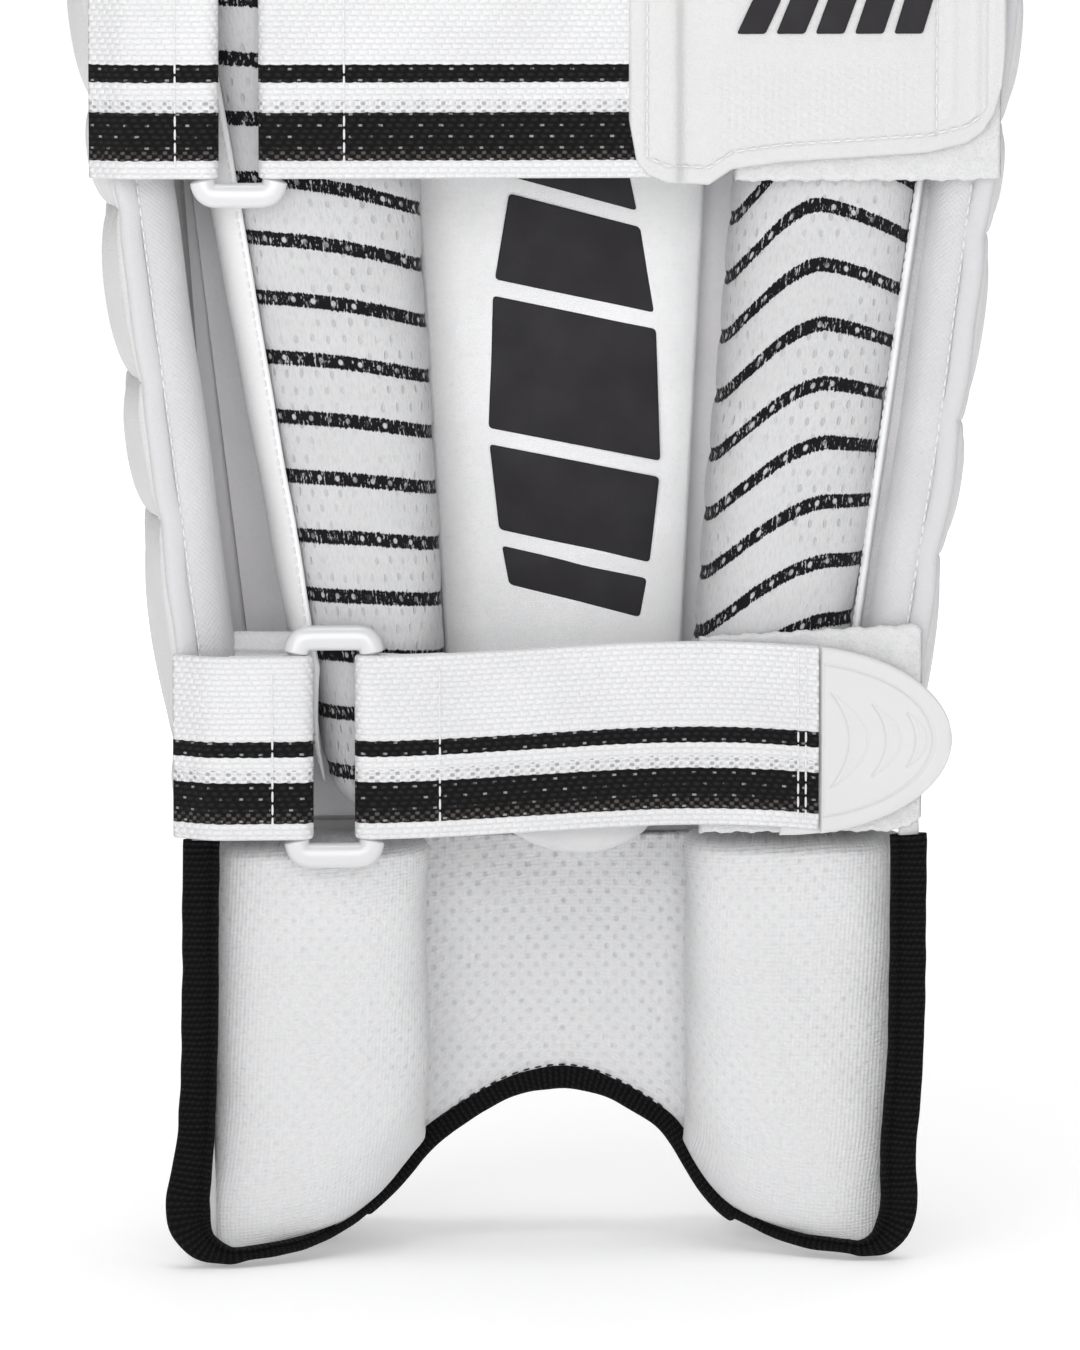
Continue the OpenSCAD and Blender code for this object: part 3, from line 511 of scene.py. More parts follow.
def side_wing(s):
    seams = (np.array(SEAMS[s]) - 112.5) * 1.0083
    seams[-1] = WING_L
    hs = np.unique(np.concatenate([np.linspace(0, WING_L, 230), seams, seams[1:-1] - 0.5, seams[1:-1] + 0.5]))
    swell, idx = lobe_swell(hs, seams)
    n, k = 52, 9
    f = np.linspace(0, 1, n)
    e = np.linspace(0, pi, k)[1:-1]
    rings = []
    for h, b in zip(hs, swell):
        front = 6 + 8.5 * h / WING_L
        a = front + (-WING_A - front) * f
        end = min(h, WING_L - h)
        q = math.sin(min(1.0, end / 6.0) * pi / 2)
        half = WING_T / 2 * q
        bend = np.clip(np.minimum(f * 6, (1 - f) * 9), 0, 1) ** 0.6
        dip = 5.2 * (1 - b) * (0.35 + 0.65 * bend)
        pucker = 0.5 * (1 - b) * np.sin(f * 46 + s) * bend
        outer = wing_local(120.5 + half - dip * q + pucker * q, a, 0, h)
        rear = wing_local(120.5 + half * np.cos(e) - dip[-1] * q * (1 + np.cos(e)) / 2, -WING_A, half * 0.42 * np.sin(e), h)
        inner = wing_local(np.full(n, 120.5 - half), a[::-1], 0, h)
        fr = wing_local(120.5 - half * np.cos(e) - dip[0] * q * (1 - np.cos(e)) / 2, front, -half * 0.42 * np.sin(e), h)
        ring = np.concatenate([outer, rear, inner, fr])
        rings.append(np.concatenate([ring, ring[:1]]))
    P = wing_world(np.array(rings), s)
    P += wave(P, 0.35, 38, s)[..., None] * np.array([1, 0, 0])
    name = "left_wing" if s < 0 else "right_wing"
    skin(name + "_cover", P, metric_uv(P), "shin_guard", "pu_white", (name,), caps=False)
    rows = []
    for z in seams[1:-1]:
        a = np.linspace(-WING_A + 1.2, 6 + 8.5 * z / WING_L - 1.0, 30)
        p = wing_world(wing_local(np.full(30, WING_R - 4.9), a, 0, np.full(30, z)), s)
        out = wing_world(wing_local(np.full(30, WING_R + 5.0), a, 0, np.full(30, z)), s) - p
        rows.append((p, out))
    stitches(name + "_thread", rows, "shin_guard", 3.4, 2.5, 0.3)

    # welt along the rear edge, then the lining that wraps the inner half of the edge
    hs = np.concatenate([[3, 3.6, 5], np.linspace(8, WING_L - 9, 150), [WING_L - 6, WING_L - 4.6, WING_L - 4]])
    q = np.sin(np.clip(np.minimum(hs - 3, WING_L - 4 - hs) / 4, 0.02, 1) * pi / 2)
    t = np.linspace(0, 2 * pi, 29)
    b, _ = lobe_swell(hs, seams)
    rings = []
    for h, g, bb in zip(hs, q, b):
        x, y = sell(t, 2.9 * g, 2.2 * g, 2.5)
        rings.append(wing_local(124.3 - 1.1 * (1 - bb) + x, -WING_A, 2.4 + y, h))
    P = wing_world(np.array(rings), s)
    P += wave(P, 0.3, 23, s + 2)[..., None] * np.array([1, 0.4, 0])
    pname = "left_piping" if s < 0 else "right_piping"
    skin(pname + "_welt", P, metric_uv(P), "shin_guard", "welt", (pname,))
    rings = []
    for h in np.concatenate([[3, 3.15, 3.6], np.linspace(5, WING_L - 8, 130), [WING_L - 6.6, WING_L - 6.15, WING_L - 6]]):
        rear = [wing_local(np.array(r), -WING_A, np.array(o), 0.0)[:2] for r, o in ((121.9, 2.2), (120.6, 3.3), (118.4, 3.9), (116.0, 3.7), (114.0, 2.7), (112.6, 1.1))]
        a = np.linspace(-WING_A + 0.4, 6.4 + 7.0 * h / WING_L, 26)
        roll = 1.5 * np.exp(-((a + WING_A) / 4.5) ** 2)
        inner = wing_local(111.4 - roll * 0.3, a, 0, 0.0)[:, :2]
        path = np.concatenate([np.array(rear), inner])
        ring = around(path, 1.7 * min(1.0, (min(h - 3, WING_L - 6 - h) / 0.8) ** 0.5))
        rings.append(np.concatenate([ring, np.full((len(ring), 1), h)], 1))
    P = wing_world(np.array(rings), s)
    P += wave(P, 0.45, 52, s + 4)[..., None] * np.array([1, 0, 0])
    lname = "left_wall_lining" if s < 0 else "right_wall_lining"
    skin(lname + "_cloth", P, metric_uv(P), "shin_guard", "brushed", (lname,), caps=False)
    p = wing_world(wing_local(np.full(60, 121.3), -WING_A, np.full(60, 4.0), np.linspace(6, WING_L - 8, 60)), s)
    stitches(pname + "_thread", [(p, (0.25 * s, -1, 0))], "shin_guard", 3.0, 2.2, 0.32)


for s in (-1, 1):
    side_wing(s)

# ---------------------------------------------------------------- bolsters


def mixf(a, b, t):
    return a + (b - a) * t


def left_in(z):
    return mixf(-26, -32.5, (z - 164) / 117)


def left_out(z):
    return np.where(z < 164, mixf(-55, -63, (z - 120) / 44), mixf(-63, -84, (z - 164) / 117))


def right_in(z):
    return mixf(40, 50, (z - 164) / 117)


def right_out(z):
    return np.where(z < 164, mixf(71, 77.5, (z - 120) / 44), mixf(77.5, 94, (z - 164) / 117))


FULL = 4.0  # how far the right bolster bulges past its moulded core, mm


def bolster_shape(s, n_t=132):
    a = np.linspace(0.1, pi / 2, 12)
    zs = np.concatenate([129 - 10 * np.cos(a), np.linspace(130, 369, 190), 370 + 10 * np.cos(a[::-1])])
    sh = np.concatenate([10 * (1 - np.sin(a)), np.zeros(190), 10 * (1 - np.sin(a[::-1]))])
    xo, xi = (left_out(zs), left_in(zs)) if s < 0 else (right_in(zs), right_out(zs) + FULL)
    w, c = (xi - xo) / 2 - sh, (xi + xo) / 2
    t = np.linspace(0, 2 * pi, n_t)
    d = 21.5 - sh * 0.9
    X, Y = [], []
    for i in range(len(zs)):
        x, y = sell(t, w[i], d[i], 2.7)
        X.append(c[i] + x)
        Y.append(-34 + y)
    P = np.stack([np.array(X), np.array(Y), np.broadcast_to(zs[:, None], (len(zs), n_t))], -1)
    return P, t, zs


def bolster(s):
    P, t, zs = bolster_shape(s)
    N = grid_normals(P, True)
    if (N[90, 0] @ (P[90, 0] - P[90].mean(0))) < 0:
        N = -N
    side = "left" if s < 0 else "right"
    z = P[..., 2]
    if s < 0:
        q = np.clip((P[..., 0] - left_out(z)) / (left_in(z) - left_out(z)), 0, 1)
        drop = np.clip(2 + 6.4 * (z - 176) / 93, 1.5, 9)
        phase = (z + drop * q ** 2.2 - 269.2) / 15.5
    else:
        q = np.clip((P[..., 0] - right_in(z)) / (right_out(z) + FULL - right_in(z)), 0, 1)
        crest = np.clip(0.75 - 0.32 * (z - 185) / 92, 0.4, 0.85)
        fall = np.clip(11 * (z - 199) / 78, 0, 13)
        g = np.where(q < crest, -20 * np.abs(1 - q / crest) ** 1.7, -fall * np.clip((q - crest) / (1 - crest), 0, 1) ** 1.5)
        phase = (z - g - 277.5) / 15.5
    # the knit draws in a little at each stripe, and lies in soft folds
    d = np.abs((phase + 0.5) % 1 - 0.5)
    dip = -0.55 * np.exp(-(d / 0.13) ** 2)
    P = P + N * (dip + wave(P, 0.45, 41, s) + wave(P, 0.2, 13, s + 3))[..., None]
    uv = metric_uv(P)
    stripe = np.stack([uv[..., 0], phase], -1)
    skin(side + "_bolster_knit", P, uv, "shin_guard", "knit_mesh", (side + "_bolster",), stripe=stripe)

    # smooth edge strip sewn down the outer side
    lo, hi = (8, len(zs) - 8) if s < 0 else (8, len(zs) - 8)
    zz = zs[lo:hi]
    rings = []
    for z in zz:
        out, inn = (float(left_out(z)), float(left_in(z))) if s < 0 else (float(right_out(z)) + FULL, float(right_in(z)))
        w, c = abs(inn - out) / 2, (inn + out) / 2
        taper = np.clip((z - 121) / 36, 0.05, 1) * np.clip((377 - z) / 30, 0.2, 1)
        end = min(1.0, (min(z - zz[0], zz[-1] - z) / 2.0)) ** 0.5
        if s < 0:
            ang = np.radians(np.linspace(176, 176 + 47 * taper, 16))
            lift = 1.6
        else:
            ang = np.radians(np.linspace(6, 6 - 30 * taper, 16))
            lift = 1.1
        x, y = sell(ang, w + lift + 1.4 * taper * (s < 0), 21.5 + lift * 0.5, 2.7)
        path = np.stack([c + x, -34 + y], 1)
        ring = around(path, 1.9 * (0.4 + 0.6 * taper) * end)
        rings.append(np.concatenate([ring, np.full((len(ring), 1), z)], 1))
    G = np.array(rings)
    G += wave(G, 0.2, 37, s + 8)[..., None]
    skin(side + "_gusset_strip", G, metric_uv(G), "shin_guard", "pu_trim", (side + "_gusset",), caps=False)
    edge = G[::1, 15] if s < 0 else G[::1, 15]
    stitches(side + "_gusset_thread", [(edge[4:-4] + [0.9 * s * -1 * 0, -0.5, 0], (0.2 * s, -1, 0))], "shin_guard", 2.6, 1.9, 0.26)


for s in (-1, 1):
    bolster(s)


def channel_cloth():
    """Lining that rises from the right bolster's side to the wall, and the fold that closes the left channel's foot."""
    rings = []
    for z in np.concatenate([[118, 118.3, 119], np.linspace(121, 378, 110), [380, 380.7, 381]]):
        a = float(right_out(z)) + FULL - 3.0
        b = 79.1 + 0.13 * (z - 112.5) + min(4.0, 1.0 + 3.4 * (z - 112.5) / 120) + 1.6
        t = np.linspace(0, 1, 24)
        path = np.stack([mixf(a, b, t), -38.5 - 5.5 * (2 * t - 1) ** 2 - 1.5 * t], 1)
        ring = around(path, 1.3 * min(1.0, (min(z - 118, 381 - z) / 1.0) ** 0.5))
        rings.append(np.concatenate([ring, np.full((len(ring), 1), z)], 1))
    P = np.array(rings)
    P[..., 1] += wave(P, 0.4, 44, 2)
    skin("right_channel_cloth", P, metric_uv(P), "shin_guard", "lining", caps=False)
    rings = []
    for v in np.concatenate([[0, 0.01, 0.03], np.linspace(0.06, 0.93, 60), [0.965, 0.99, 1]]):
        x = np.linspace(-91.5, -66.5, 50)
        top = 166.2 + 4.6 * np.clip((-82 - x) / 8, 0, 1) ** 1.6
        z = mixf(134.0, top, v)
        y = -50.5 + 4.5 * (1 - v) * 0 + 5.0 * v ** 3 - 0.35 * np.sin(z * 2 * pi / 2.6) * (v < 0.9) - 1.2 * np.sin(x / 4.0)
        path = np.stack([x, y], 1)
        ring = around(path, 2.4 * min(1.0, (min(v, 1 - v) / 0.035 + 1e-9) ** 0.5))
        zz = np.interp(ring[:, 0], x, z)
        rings.append(np.concatenate([ring, zz[:, None]], 1))
    P = np.array(rings)
    skin("left_channel_fold", P, metric_uv(P), "shin_guard", "brushed", caps=False)


channel_cloth()

# ---------------------------------------------------------------- centre panel and its mark


def centre_panel():
    zs = np.concatenate([104 + np.array([0.3, 1.1, 2.7, 5.5, 9.5, 15.5, 22.5, 28.5]), np.linspace(139, 376, 120), [378.5, 379.6]])
    t = np.linspace(-1, 1, 61)
    rings = []
    for z in zs:
        if z < 134:
            half = math.sqrt(max(30 ** 2 - (z - 134) ** 2, 4))
            c = 11 - 4.0 * (z - 104) / 30
        else:
            k = (z - 134) / 246
            lo, hi = mixf(-23, -38, k), mixf(37, 49, k)
            half, c = (hi - lo) / 2, (hi + lo) / 2
        edge = np.clip(min(z - 103.9, 380 - z) / 6, 0.1, 1) ** 0.5
        x = c + half * t
        crown = (1 - np.abs(t) ** 6) * edge
        back = -15.4 - 3.0 * crown - 6.2 * np.clip((118 - z) / 8, 0, 1)
        ring = np.concatenate([np.stack([x, back], 1), np.stack([x[::-1], np.full(61, -10.3)], 1)])
        ring = np.concatenate([ring, ring[:1]])
        rings.append(np.concatenate([ring, np.full((len(ring), 1), z)], 1))
    P = np.array(rings)
    P[..., 1] += wave(P, 0.4, 60, 5) * (P[..., 1] < -12)
    skin("centre_panel_cloth", P, metric_uv(P), "shin_guard", "panel", ("centre_panel",))


centre_panel()


def slab(name, outline, y_back, t, body, mat, round_r=0.5, smooth=24, attrs=None):
    """Thin flat piece with a soft edge, cut to a closed outline in X and Z."""
    o = np.asarray(outline, float)
    c = o.mean(0)
    d = np.linalg.norm(o - c, axis=1, keepdims=True)
    prof = [(0.0, 1.0), (0.35, 0.86), (0.8, 0.3), (1.0, 0.0), (1.0, -0.6)]
    V, F = [], []
    m = len(o)
    for frac, lift in ((1.0, -1.0), (1.0, 0.0), (0.75, 0.55), (0.35, 0.88), (0.0, 1.0)):
        q = c + (o - c) * (1 - round_r * (1 - frac) / d)
        for p in q:
            V.append((p[0], y_back - t * (0.5 + 0.5 * lift), p[1]))
    for k in range(4):
        for i in range(m):
            F.append([k * m + i, k * m + (i + 1) % m, (k + 1) * m + (i + 1) % m, (k + 1) * m + i])
    F.append([i for i in range(m - 1, -1, -1)])
    F.append([4 * m + i for i in range(m)])
    return mesh_of(name, V, F, weld=False)


def mark_blocks(x0, z0, width, height, lean, blocks, gap):
    """Outlines of a tall blade cut into slanted blocks: a plain pattern, not a letter."""
    outs = []
    total = sum(b for b in blocks) + gap * (len(blocks) - 1)
    z = z0
    for b in blocks:
        h = height * b / total
        k0, k1 = (z - z0) / height, (z + h - z0) / height
        w0 = width * (0.55 + 0.45 * math.sin(pi * min(1, 0.15 + 0.8 * k0)))
        w1 = width * (0.55 + 0.45 * math.sin(pi * min(1, 0.15 + 0.8 * k1)))
        outs.append([(x0 - w0 / 2, z + lean * 0.5), (x0 + w0 / 2, z - lean * 0.5), (x0 + w1 / 2, z + h - lean * 0.5), (x0 - w1 / 2, z + h + lean * 0.5)])
        z += h + height * gap / total
    return outs


def dense(poly, step=2.0, corner=1.2):
    """A polygon's edges as close points, with clipped round corners."""
    p = np.asarray(poly, float)
    out = []
    n = len(p)
    for i in range(n):
        a, b, c = p[i - 1], p[i], p[(i + 1) % n]
        u, v = (a - b) / np.linalg.norm(a - b), (c - b) / np.linalg.norm(c - b)
        s, e = b + u * corner, b + v * corner
        for k in np.linspace(0, 1, 5):
            out.append((1 - k) ** 2 * s + 2 * k * (1 - k) * b + k ** 2 * e)
        nxt = p[(i + 1) % n] - v * corner
        m = max(1, int(np.linalg.norm(nxt - e) / step))
        for k in range(1, m):
            out.append(e + (nxt - e) * k / m)
    return np.array(out)


def merge(meshes, name):
    bm = bmesh.new()
    for me in meshes:
        bm.from_mesh(me)
        bpy.data.meshes.remove(me)
    out = bpy.data.meshes.new(name)
    bm.to_mesh(out)
    bm.free()
    out.polygons.foreach_set("use_smooth", [True] * len(out.polygons))
    return out


blocks = mark_blocks(9.5, 171, 46, 118, 9, [1.0, 2.2, 3.4, 2.2, 1.0], 0.42)
piece("centre_print", merge([slab(f"b{i}", dense(b), -18.3, 0.5, None, None) for i, b in enumerate(blocks)], "centre_print"), "shin_guard", "ink")

# ---------------------------------------------------------------- boot section

# lower edge of the leg side, from the left corner over the arch to the right corner: x, depth y, z
HEM = np.array([
    (-91, -55, 3.4), (-84, -55.5, 2.6), (-75, -53, 2.6), (-66, -47, 3.6), (-58, -40, 5.2), (-51, -33.5, 8.2), (-45, -28, 12),
    (-40, -24, 16), (-36, -21, 20), (-32.5, -19, 24), (-28, -17, 28), (-22, -15.6, 32), (-15, -14.6, 36.2), (-7, -14, 40), (1, -13.8, 42),
    (8, -13.8, 42.4), (15, -14, 41), (22, -14.6, 38), (29, -15.6, 34), (34, -17, 30.4), (37.5, -19.5, 26), (41, -23, 20), (45, -27, 14.4),
    (50, -32, 9.6), (57, -39, 6), (65, -46, 3.8), (74, -53, 2.6), (83, -55.5, 2.6), (90, -55, 3.4)], float)


def spline(pts, n):
    """Smooth even path through points."""
    p = np.asarray(pts, float)
    q = np.concatenate([2 * p[:1] - p[1:2], p, 2 * p[-1:] - p[-2:-1]])
    out = []
    for i in range(len(p) - 1):
        a, b, c, d = q[i:i + 4]
        t = np.linspace(0, 1, 24, endpoint=i == len(p) - 2)[:, None]
        out.append(0.5 * (2 * b + (c - a) * t + (2 * a - 5 * b + 4 * c - d) * t ** 2 + (3 * b - a - 3 * c + d) * t ** 3))
    o = np.concatenate(out)
    s = np.concatenate([[0], np.cumsum(np.linalg.norm(np.diff(o, axis=0), axis=1))])
    e = np.linspace(0, s[-1], n)
    return np.stack([np.interp(e, s, o[:, k]) for k in range(o.shape[1])], 1)


HEM_LINE = spline(HEM, 600)


def even_ring(a, b, e, n):
    """A superellipse's points at equal steps round it, as sell gives them."""
    t = np.linspace(0, 2 * pi, 4001)
    x, y = sell(t, a, b, e)
    L = np.concatenate([[0], np.cumsum(np.hypot(np.diff(x), np.diff(y)))])
    g = np.linspace(0, L[-1], n)
    x, y = np.interp(g, L, x), np.interp(g, L, y)
    x[-1], y[-1] = x[0], y[0]
    return x, y


def hem_at(x):
    return np.interp(x, HEM_LINE[:, 0], HEM_LINE[:, 1]), np.interp(x, HEM_LINE[:, 0], HEM_LINE[:, 2])


def ribbon(name, path, wide, thick, out, body, mat, rep=(), e=2.6, rib=0.13, pitch=1.8, groove=None, cross=33):
    """Tape swept along a path in space. wide and thick are half sizes, out its outward side."""
    path = np.asarray(path, float)
    T = np.gradient(path, axis=0)
    T /= np.linalg.norm(T, axis=1, keepdims=True)
    out = np.broadcast_to(np.asarray(out, float), path.shape)
    W = np.cross(T, out)
    W /= np.linalg.norm(W, axis=1, keepdims=True)
    O = np.cross(W, T)
    s = np.concatenate([[0], np.cumsum(np.linalg.norm(np.diff(path, axis=0), axis=1))])
    wide = np.broadcast_to(np.asarray(wide, float), (len(path),))
    thick = np.broadcast_to(np.asarray(thick, float), (len(path),))
    t = np.linspace(0, 2 * pi, cross)
    rings = []
    for i in range(len(path)):
        x, y = sell(t, wide[i], thick[i], e)
        r = rib * math.sin(2 * pi * s[i] / pitch) * (0.6 + 0.4 * np.cos(8 * x / wide[i]))
        k = 1 + r / thick[i]
        if groove is not None:
            k = k - 0.55 * np.exp(-((x / wide[i] - groove) / 0.13) ** 2) * (y > 0)
        rings.append(path[i] + W[i] * x[:, None] + O[i] * (y * k)[:, None])
    P = np.array(rings)
    P += (wave(P, 0.22, 21, 3) + wave(P, 0.16, 9, 6))[..., None] * [0.7, 1, 0.7]
    return skin(name, P, metric_uv(P), body, mat, rep)


def boot():
    # wall: a U in plan whose foot follows the arch in front
    left = line((-91, -53), (-91, -36), 22)
    right = line((91, -36), (95.0, -53), 22)
    path = np.concatenate([left[:-1], arc(-65, -35.8, 26, 180, 90, 30)[:-1], line((-65, -9.8), (65, -9.8), 90)[:-1], arc(65, -35.8, 26, 90, 0, 30)[:-1], right])
    path[:, 1] += np.where(np.abs(path[:, 0]) < 66, 2.0, 0) * np.clip((66 - np.abs(path[:, 0])) / 8, 0, 1)
    thick = np.where(np.abs(path[:, 0]) < 65, 4.2, 7.4) - 2.8 * np.clip((path[:, 0] - 91) / 3, 0, 1)
    ring = around(path, thick)
    R = 54.2
    low = np.where(np.abs(ring[:, 0] - 4) < 52, np.sqrt(np.clip(R ** 2 - (ring[:, 0] - 4) ** 2, 0, None)) - 15.2 + 1.5, 2.4)
    low = np.maximum(low, 2.4)
    low = np.where(ring[:, 1] < -30, 2.4, low)
    vs = np.concatenate([[0, 0.002, 0.008, 0.018], np.linspace(0.035, 0.965, 60), [0.982, 0.992, 0.998, 1]])
    P = []
    for v in vs:
        q = math.sin(min(1.0, min(v, 1 - v) / 0.03) * pi / 2)
        r = around(path, thick * q)
        P.append(np.stack([r[:, 0], r[:, 1], low + (111.8 - low) * v], 1))
    P = np.array(P)
    P += wave(P, 0.4, 55, 6)[..., None] * [1, 0.3, 0]
    P[..., 0] -= 5.5 * np.clip((P[..., 0] - 88) / 4, 0, 1) * np.clip((24 - P[..., 2]) / 20, 0, 1)
    skin("boot_wall", P, metric_uv(P), "shin_guard", "pu_white", ("boot_shell",), caps=False)

    def dimples(U, Z, cut):
        """Staggered holes of uneven size, 0 between them and 1 at the middle of each."""
        U = U + 0.35 * np.sin(Z / 3.7) + 0.25 * np.sin(U / 5.3 + Z / 2.9)
        f = np.cos(2 * pi * U / 4.6) * np.cos(2 * pi * Z / 4.9)
        i, j = np.round(U / 2.3), np.round(Z / 2.45)
        size = np.mod(np.sin(i * 12.9898 + j * 78.233) * 43758.5453, 1)
        return np.clip((f - cut) / 0.4, 0, 1) * (0.45 + 0.55 * size)

    def pillow(name, x0, x1, node, lean):
        c, w = (x0 + x1) / 2, (x1 - x0) / 2
        vs = np.concatenate([[0, 0.004, 0.012, 0.024], np.linspace(0.04, 0.965, 200), [0.978, 0.988, 0.995, 1.0]])
        x, y = even_ring(w, 18.0, 3.4, 320)
        x, y = c + x, -34 + y
        yh, zh = hem_at(x)
        rings = []
        for v in vs:
            g = (1 - (1 - min(1, v / 0.34)) ** 2.3) ** (1 / 2.3)
            top = max(0.0, 1 - max(0, (v - 0.95) / 0.05) ** 2.2) ** (1 / 2.2)
            yy = yh + 1.5 + (y - yh - 1.5) * g
            z = zh + 1.2 + (111.2 - zh - 1.2) * v
            xx = c + (x - c) * (0.86 + 0.14 * top) * (0.98 + 0.02 * g) + lean * np.exp(-((z - 14) / 13) ** 2) * np.clip((x - c) / w * np.sign(c), 0, 1)
            rings.append(np.stack([xx, -30 + (yy + 30) * (0.35 + 0.65 * top), z], 1))
        P = np.array(rings)
        N = grid_normals(P, True)
        if N[100, 0] @ (P[100, 0] - P[100].mean(0)) < 0:
            N = -N
        uv = metric_uv(P)
        U, Z = uv[..., 0] * 1000, P[..., 2]
        # deep sinks the holes and, in the spacer_mesh material, paints shade in them
        deep = dimples(U, Z, 0.5) * np.clip(0.30 + 0.35 * (Z - 50) / 60 + 0.3 * wave(P, 1, 60, 2), 0.06, 0.6)
        P = P + N * (-0.35 * deep + wave(P, 0.5, 45, 9) + wave(P, 0.25, 17, 1))[..., None]
        skin(name, P, uv, "shin_guard", "spacer_mesh", (node,), attrs={"deep": deep}, caps=(False, True))

    pillow("boot_left_pillow", -87.0, -30.6, "boot_left_pad", -2.4)
    pillow("boot_right_pillow", 38.0, 93.4, "boot_right_pad", -2.0)

    xs = np.linspace(-33.5, 40.5, 230)
    vs = np.linspace(0, 1, 210)
    _, zh = hem_at(xs)
    rings = []
    for v in vs:
        z = zh + 1.0 + (108.6 - zh - 1.0) * v
        k = np.abs((xs - 3.5) / 37)
        y = -15.2 - 4.2 * k ** 3 - 1.3 * math.sin(pi * min(1, v * 1.1))
        # deep sinks the holes and, in the spacer_mesh material, paints shade in them
        deep = dimples(xs, z, 0.38) * (0.65 + 0.35 * np.clip((z - 60) / 50, 0, 1))
        rings.append((np.stack([xs, y + 0.45 * deep, z], 1), deep))
    front = np.array([r[0] for r in rings])
    deep = np.array([r[1] for r in rings])
    front[0, :, 1] = front[-1, :, 1] = -10.3
    back = front[:, ::-1].copy()
    back[..., 1] = -10.3
    P = np.concatenate([front, back, front[:, :1]], 1)
    D = np.concatenate([deep, deep[:, ::-1] * 0, deep[:, :1]], 1)
    skin("boot_arch_mesh", P, metric_uv(P), "shin_guard", "spacer_mesh", ("boot_arch_pad",), attrs={"deep": D}, caps=False)

    # black tape: hem over the arch, then the two side strips
    i0, i1 = np.searchsorted(HEM_LINE[:, 0], (-47, 52))
    mid = HEM_LINE[i0:i1]
    mid = spline(mid[::6], 420)
    out = np.stack([np.zeros(len(mid)), -np.ones(len(mid)), np.zeros(len(mid))], 1)
    w = 2.7 + 0.35 * np.exp(-((mid[:, 0] - 4) / 26) ** 2) + 0.2 * np.sin(mid[:, 0] / 6.5)
    ribbon("arch_tape", mid + [0, -0.6, 0.6], w, 2.7, out, "shin_guard", "black_tape", ("arch_binding",))
    for s in (-1, 1):
        side = "left" if s < 0 else "right"
        hem = HEM_LINE[HEM_LINE[:, 0] < -44] if s < 0 else HEM_LINE[HEM_LINE[:, 0] > 49][::-1]
        if s < 0:
            top = [(-90.6, 112.6), (-90.8, 108), (-91.0, 90), (-91.3, 62), (-92.0, 42), (-92.7, 32), (-93.8, 24), (-94.6, 17), (-93.8, 10.6), (-90.4, 5.8), (-84.5, 3.2)]
        else:
            top = [(94.4, 112.6), (94.5, 108), (94.4, 90), (94.1, 62), (93.3, 45), (92.3, 33), (92.0, 25), (92.4, 17), (91.4, 10.2), (88.2, 5.2), (83.0, 2.9)]
        top = np.array([(x, -55.8 - 0.7 * min(1, (113 - z) / 20), z) for x, z in top])
        path = spline(np.concatenate([top, hem[30::30] + [0, -0.9, 0.8]]), 760)
        L = np.linspace(0, 1, 760)
        h = np.interp(path[:, 2], [2, 6, 12, 22, 34, 112], [2.0, 4.4, 6.0 if s < 0 else 5.0, 5.6 if s < 0 else 4.8, 4.8, 4.8])
        near = np.abs(path[:, 0]) > 84
        h = np.where(near, h, 1.75 + 0.4 * np.clip((path[:, 2] - 6) / 8, 0, 1))
        h = np.convolve(np.pad(h, 20, "edge"), np.ones(41) / 41, "valid")
        o = np.array([0, -1, 0])
        ribbon(side + "_tape", path, h, 2.9, o, "shin_guard", "black_tape", (side + "_binding",), groove=0.45 * s, e=2.8)
        # end of the webbing stay that shows above the tape
        sx = top[0][0]
        stub = spline([(sx - 0.1, -56.4, 111.8), (sx + 0.1, -56.6, 114.5), (sx, -56.4, 118)], 26)
        ribbon(side + "_stay", stub, 2.6, 1.0, (0, -1, 0), "shin_guard", "brushed", e=3.0, rib=0.05)
    # thread line above the arch tape
    seam = HEM_LINE[np.searchsorted(HEM_LINE[:, 0], -27):np.searchsorted(HEM_LINE[:, 0], 35)]
    stitches("arch_thread", [(seam[::8] + [0, -2.4, 4.1], (0, -1, 0.1))], "shin_guard", 3.2, 1.8, 0.25, "ink")


boot()

# ---------------------------------------------------------------- straps

FACE = 2.1 + 0.4 + 1.9


def ring_buckle(name, bars, y, z, h, body):
    """Moulded ring: round upright bars, wide flat ends with round corners."""
    cx = (bars[0] + bars[1]) / 2
    hx = (bars[1] - bars[0]) / 2
    zc, hz = z + h / 2, h / 2 + 3.9
    t = np.linspace(0, 2 * pi, 481)
    px, pz = sell(t, hx, hz, 9.0)
    path = np.stack([cx + px, np.full_like(t, y), zc + pz], 1)
    s = np.linalg.norm(np.diff(path, axis=0), axis=1)
    path = path[np.concatenate([[True], s > 1e-6])]
    f = np.clip((np.abs(path[:, 2] - zc) - h / 2 + 0.2) / 0.9, 0, 1)
    f = f * f * (3 - 2 * f)
    d = np.gradient(path, axis=0)
    d[0] = d[-1] = path[1] - path[-2]
    d /= np.linalg.norm(d, axis=1, keepdims=True)
    n = np.stack([d[:, 2], np.zeros(len(d)), -d[:, 0]], 1)
    a = np.linspace(0, 2 * pi, 33)
    rings = []
    for i in range(len(path)):
        x, yy = sell(a, 2.1 + 1.2 * f[i], 2.1 + 0.9 * f[i], 2 + 0.5 * f[i])
        c = path[i] + n[i] * (0.5 * f[i])
        rings.append(c + n[i] * x[:, None] + np.array([0, 1, 0]) * yy[:, None])
    rings[-1] = rings[0]
    P = np.array(rings)
    n_, m_ = P.shape[:2]
    me = mesh_of(name, P.reshape(-1, 3), grid_faces(n_, m_), metric_uv(P).reshape(-1, 2))
    piece(name + "_moulded", me, body, "ring_plastic", (name,))


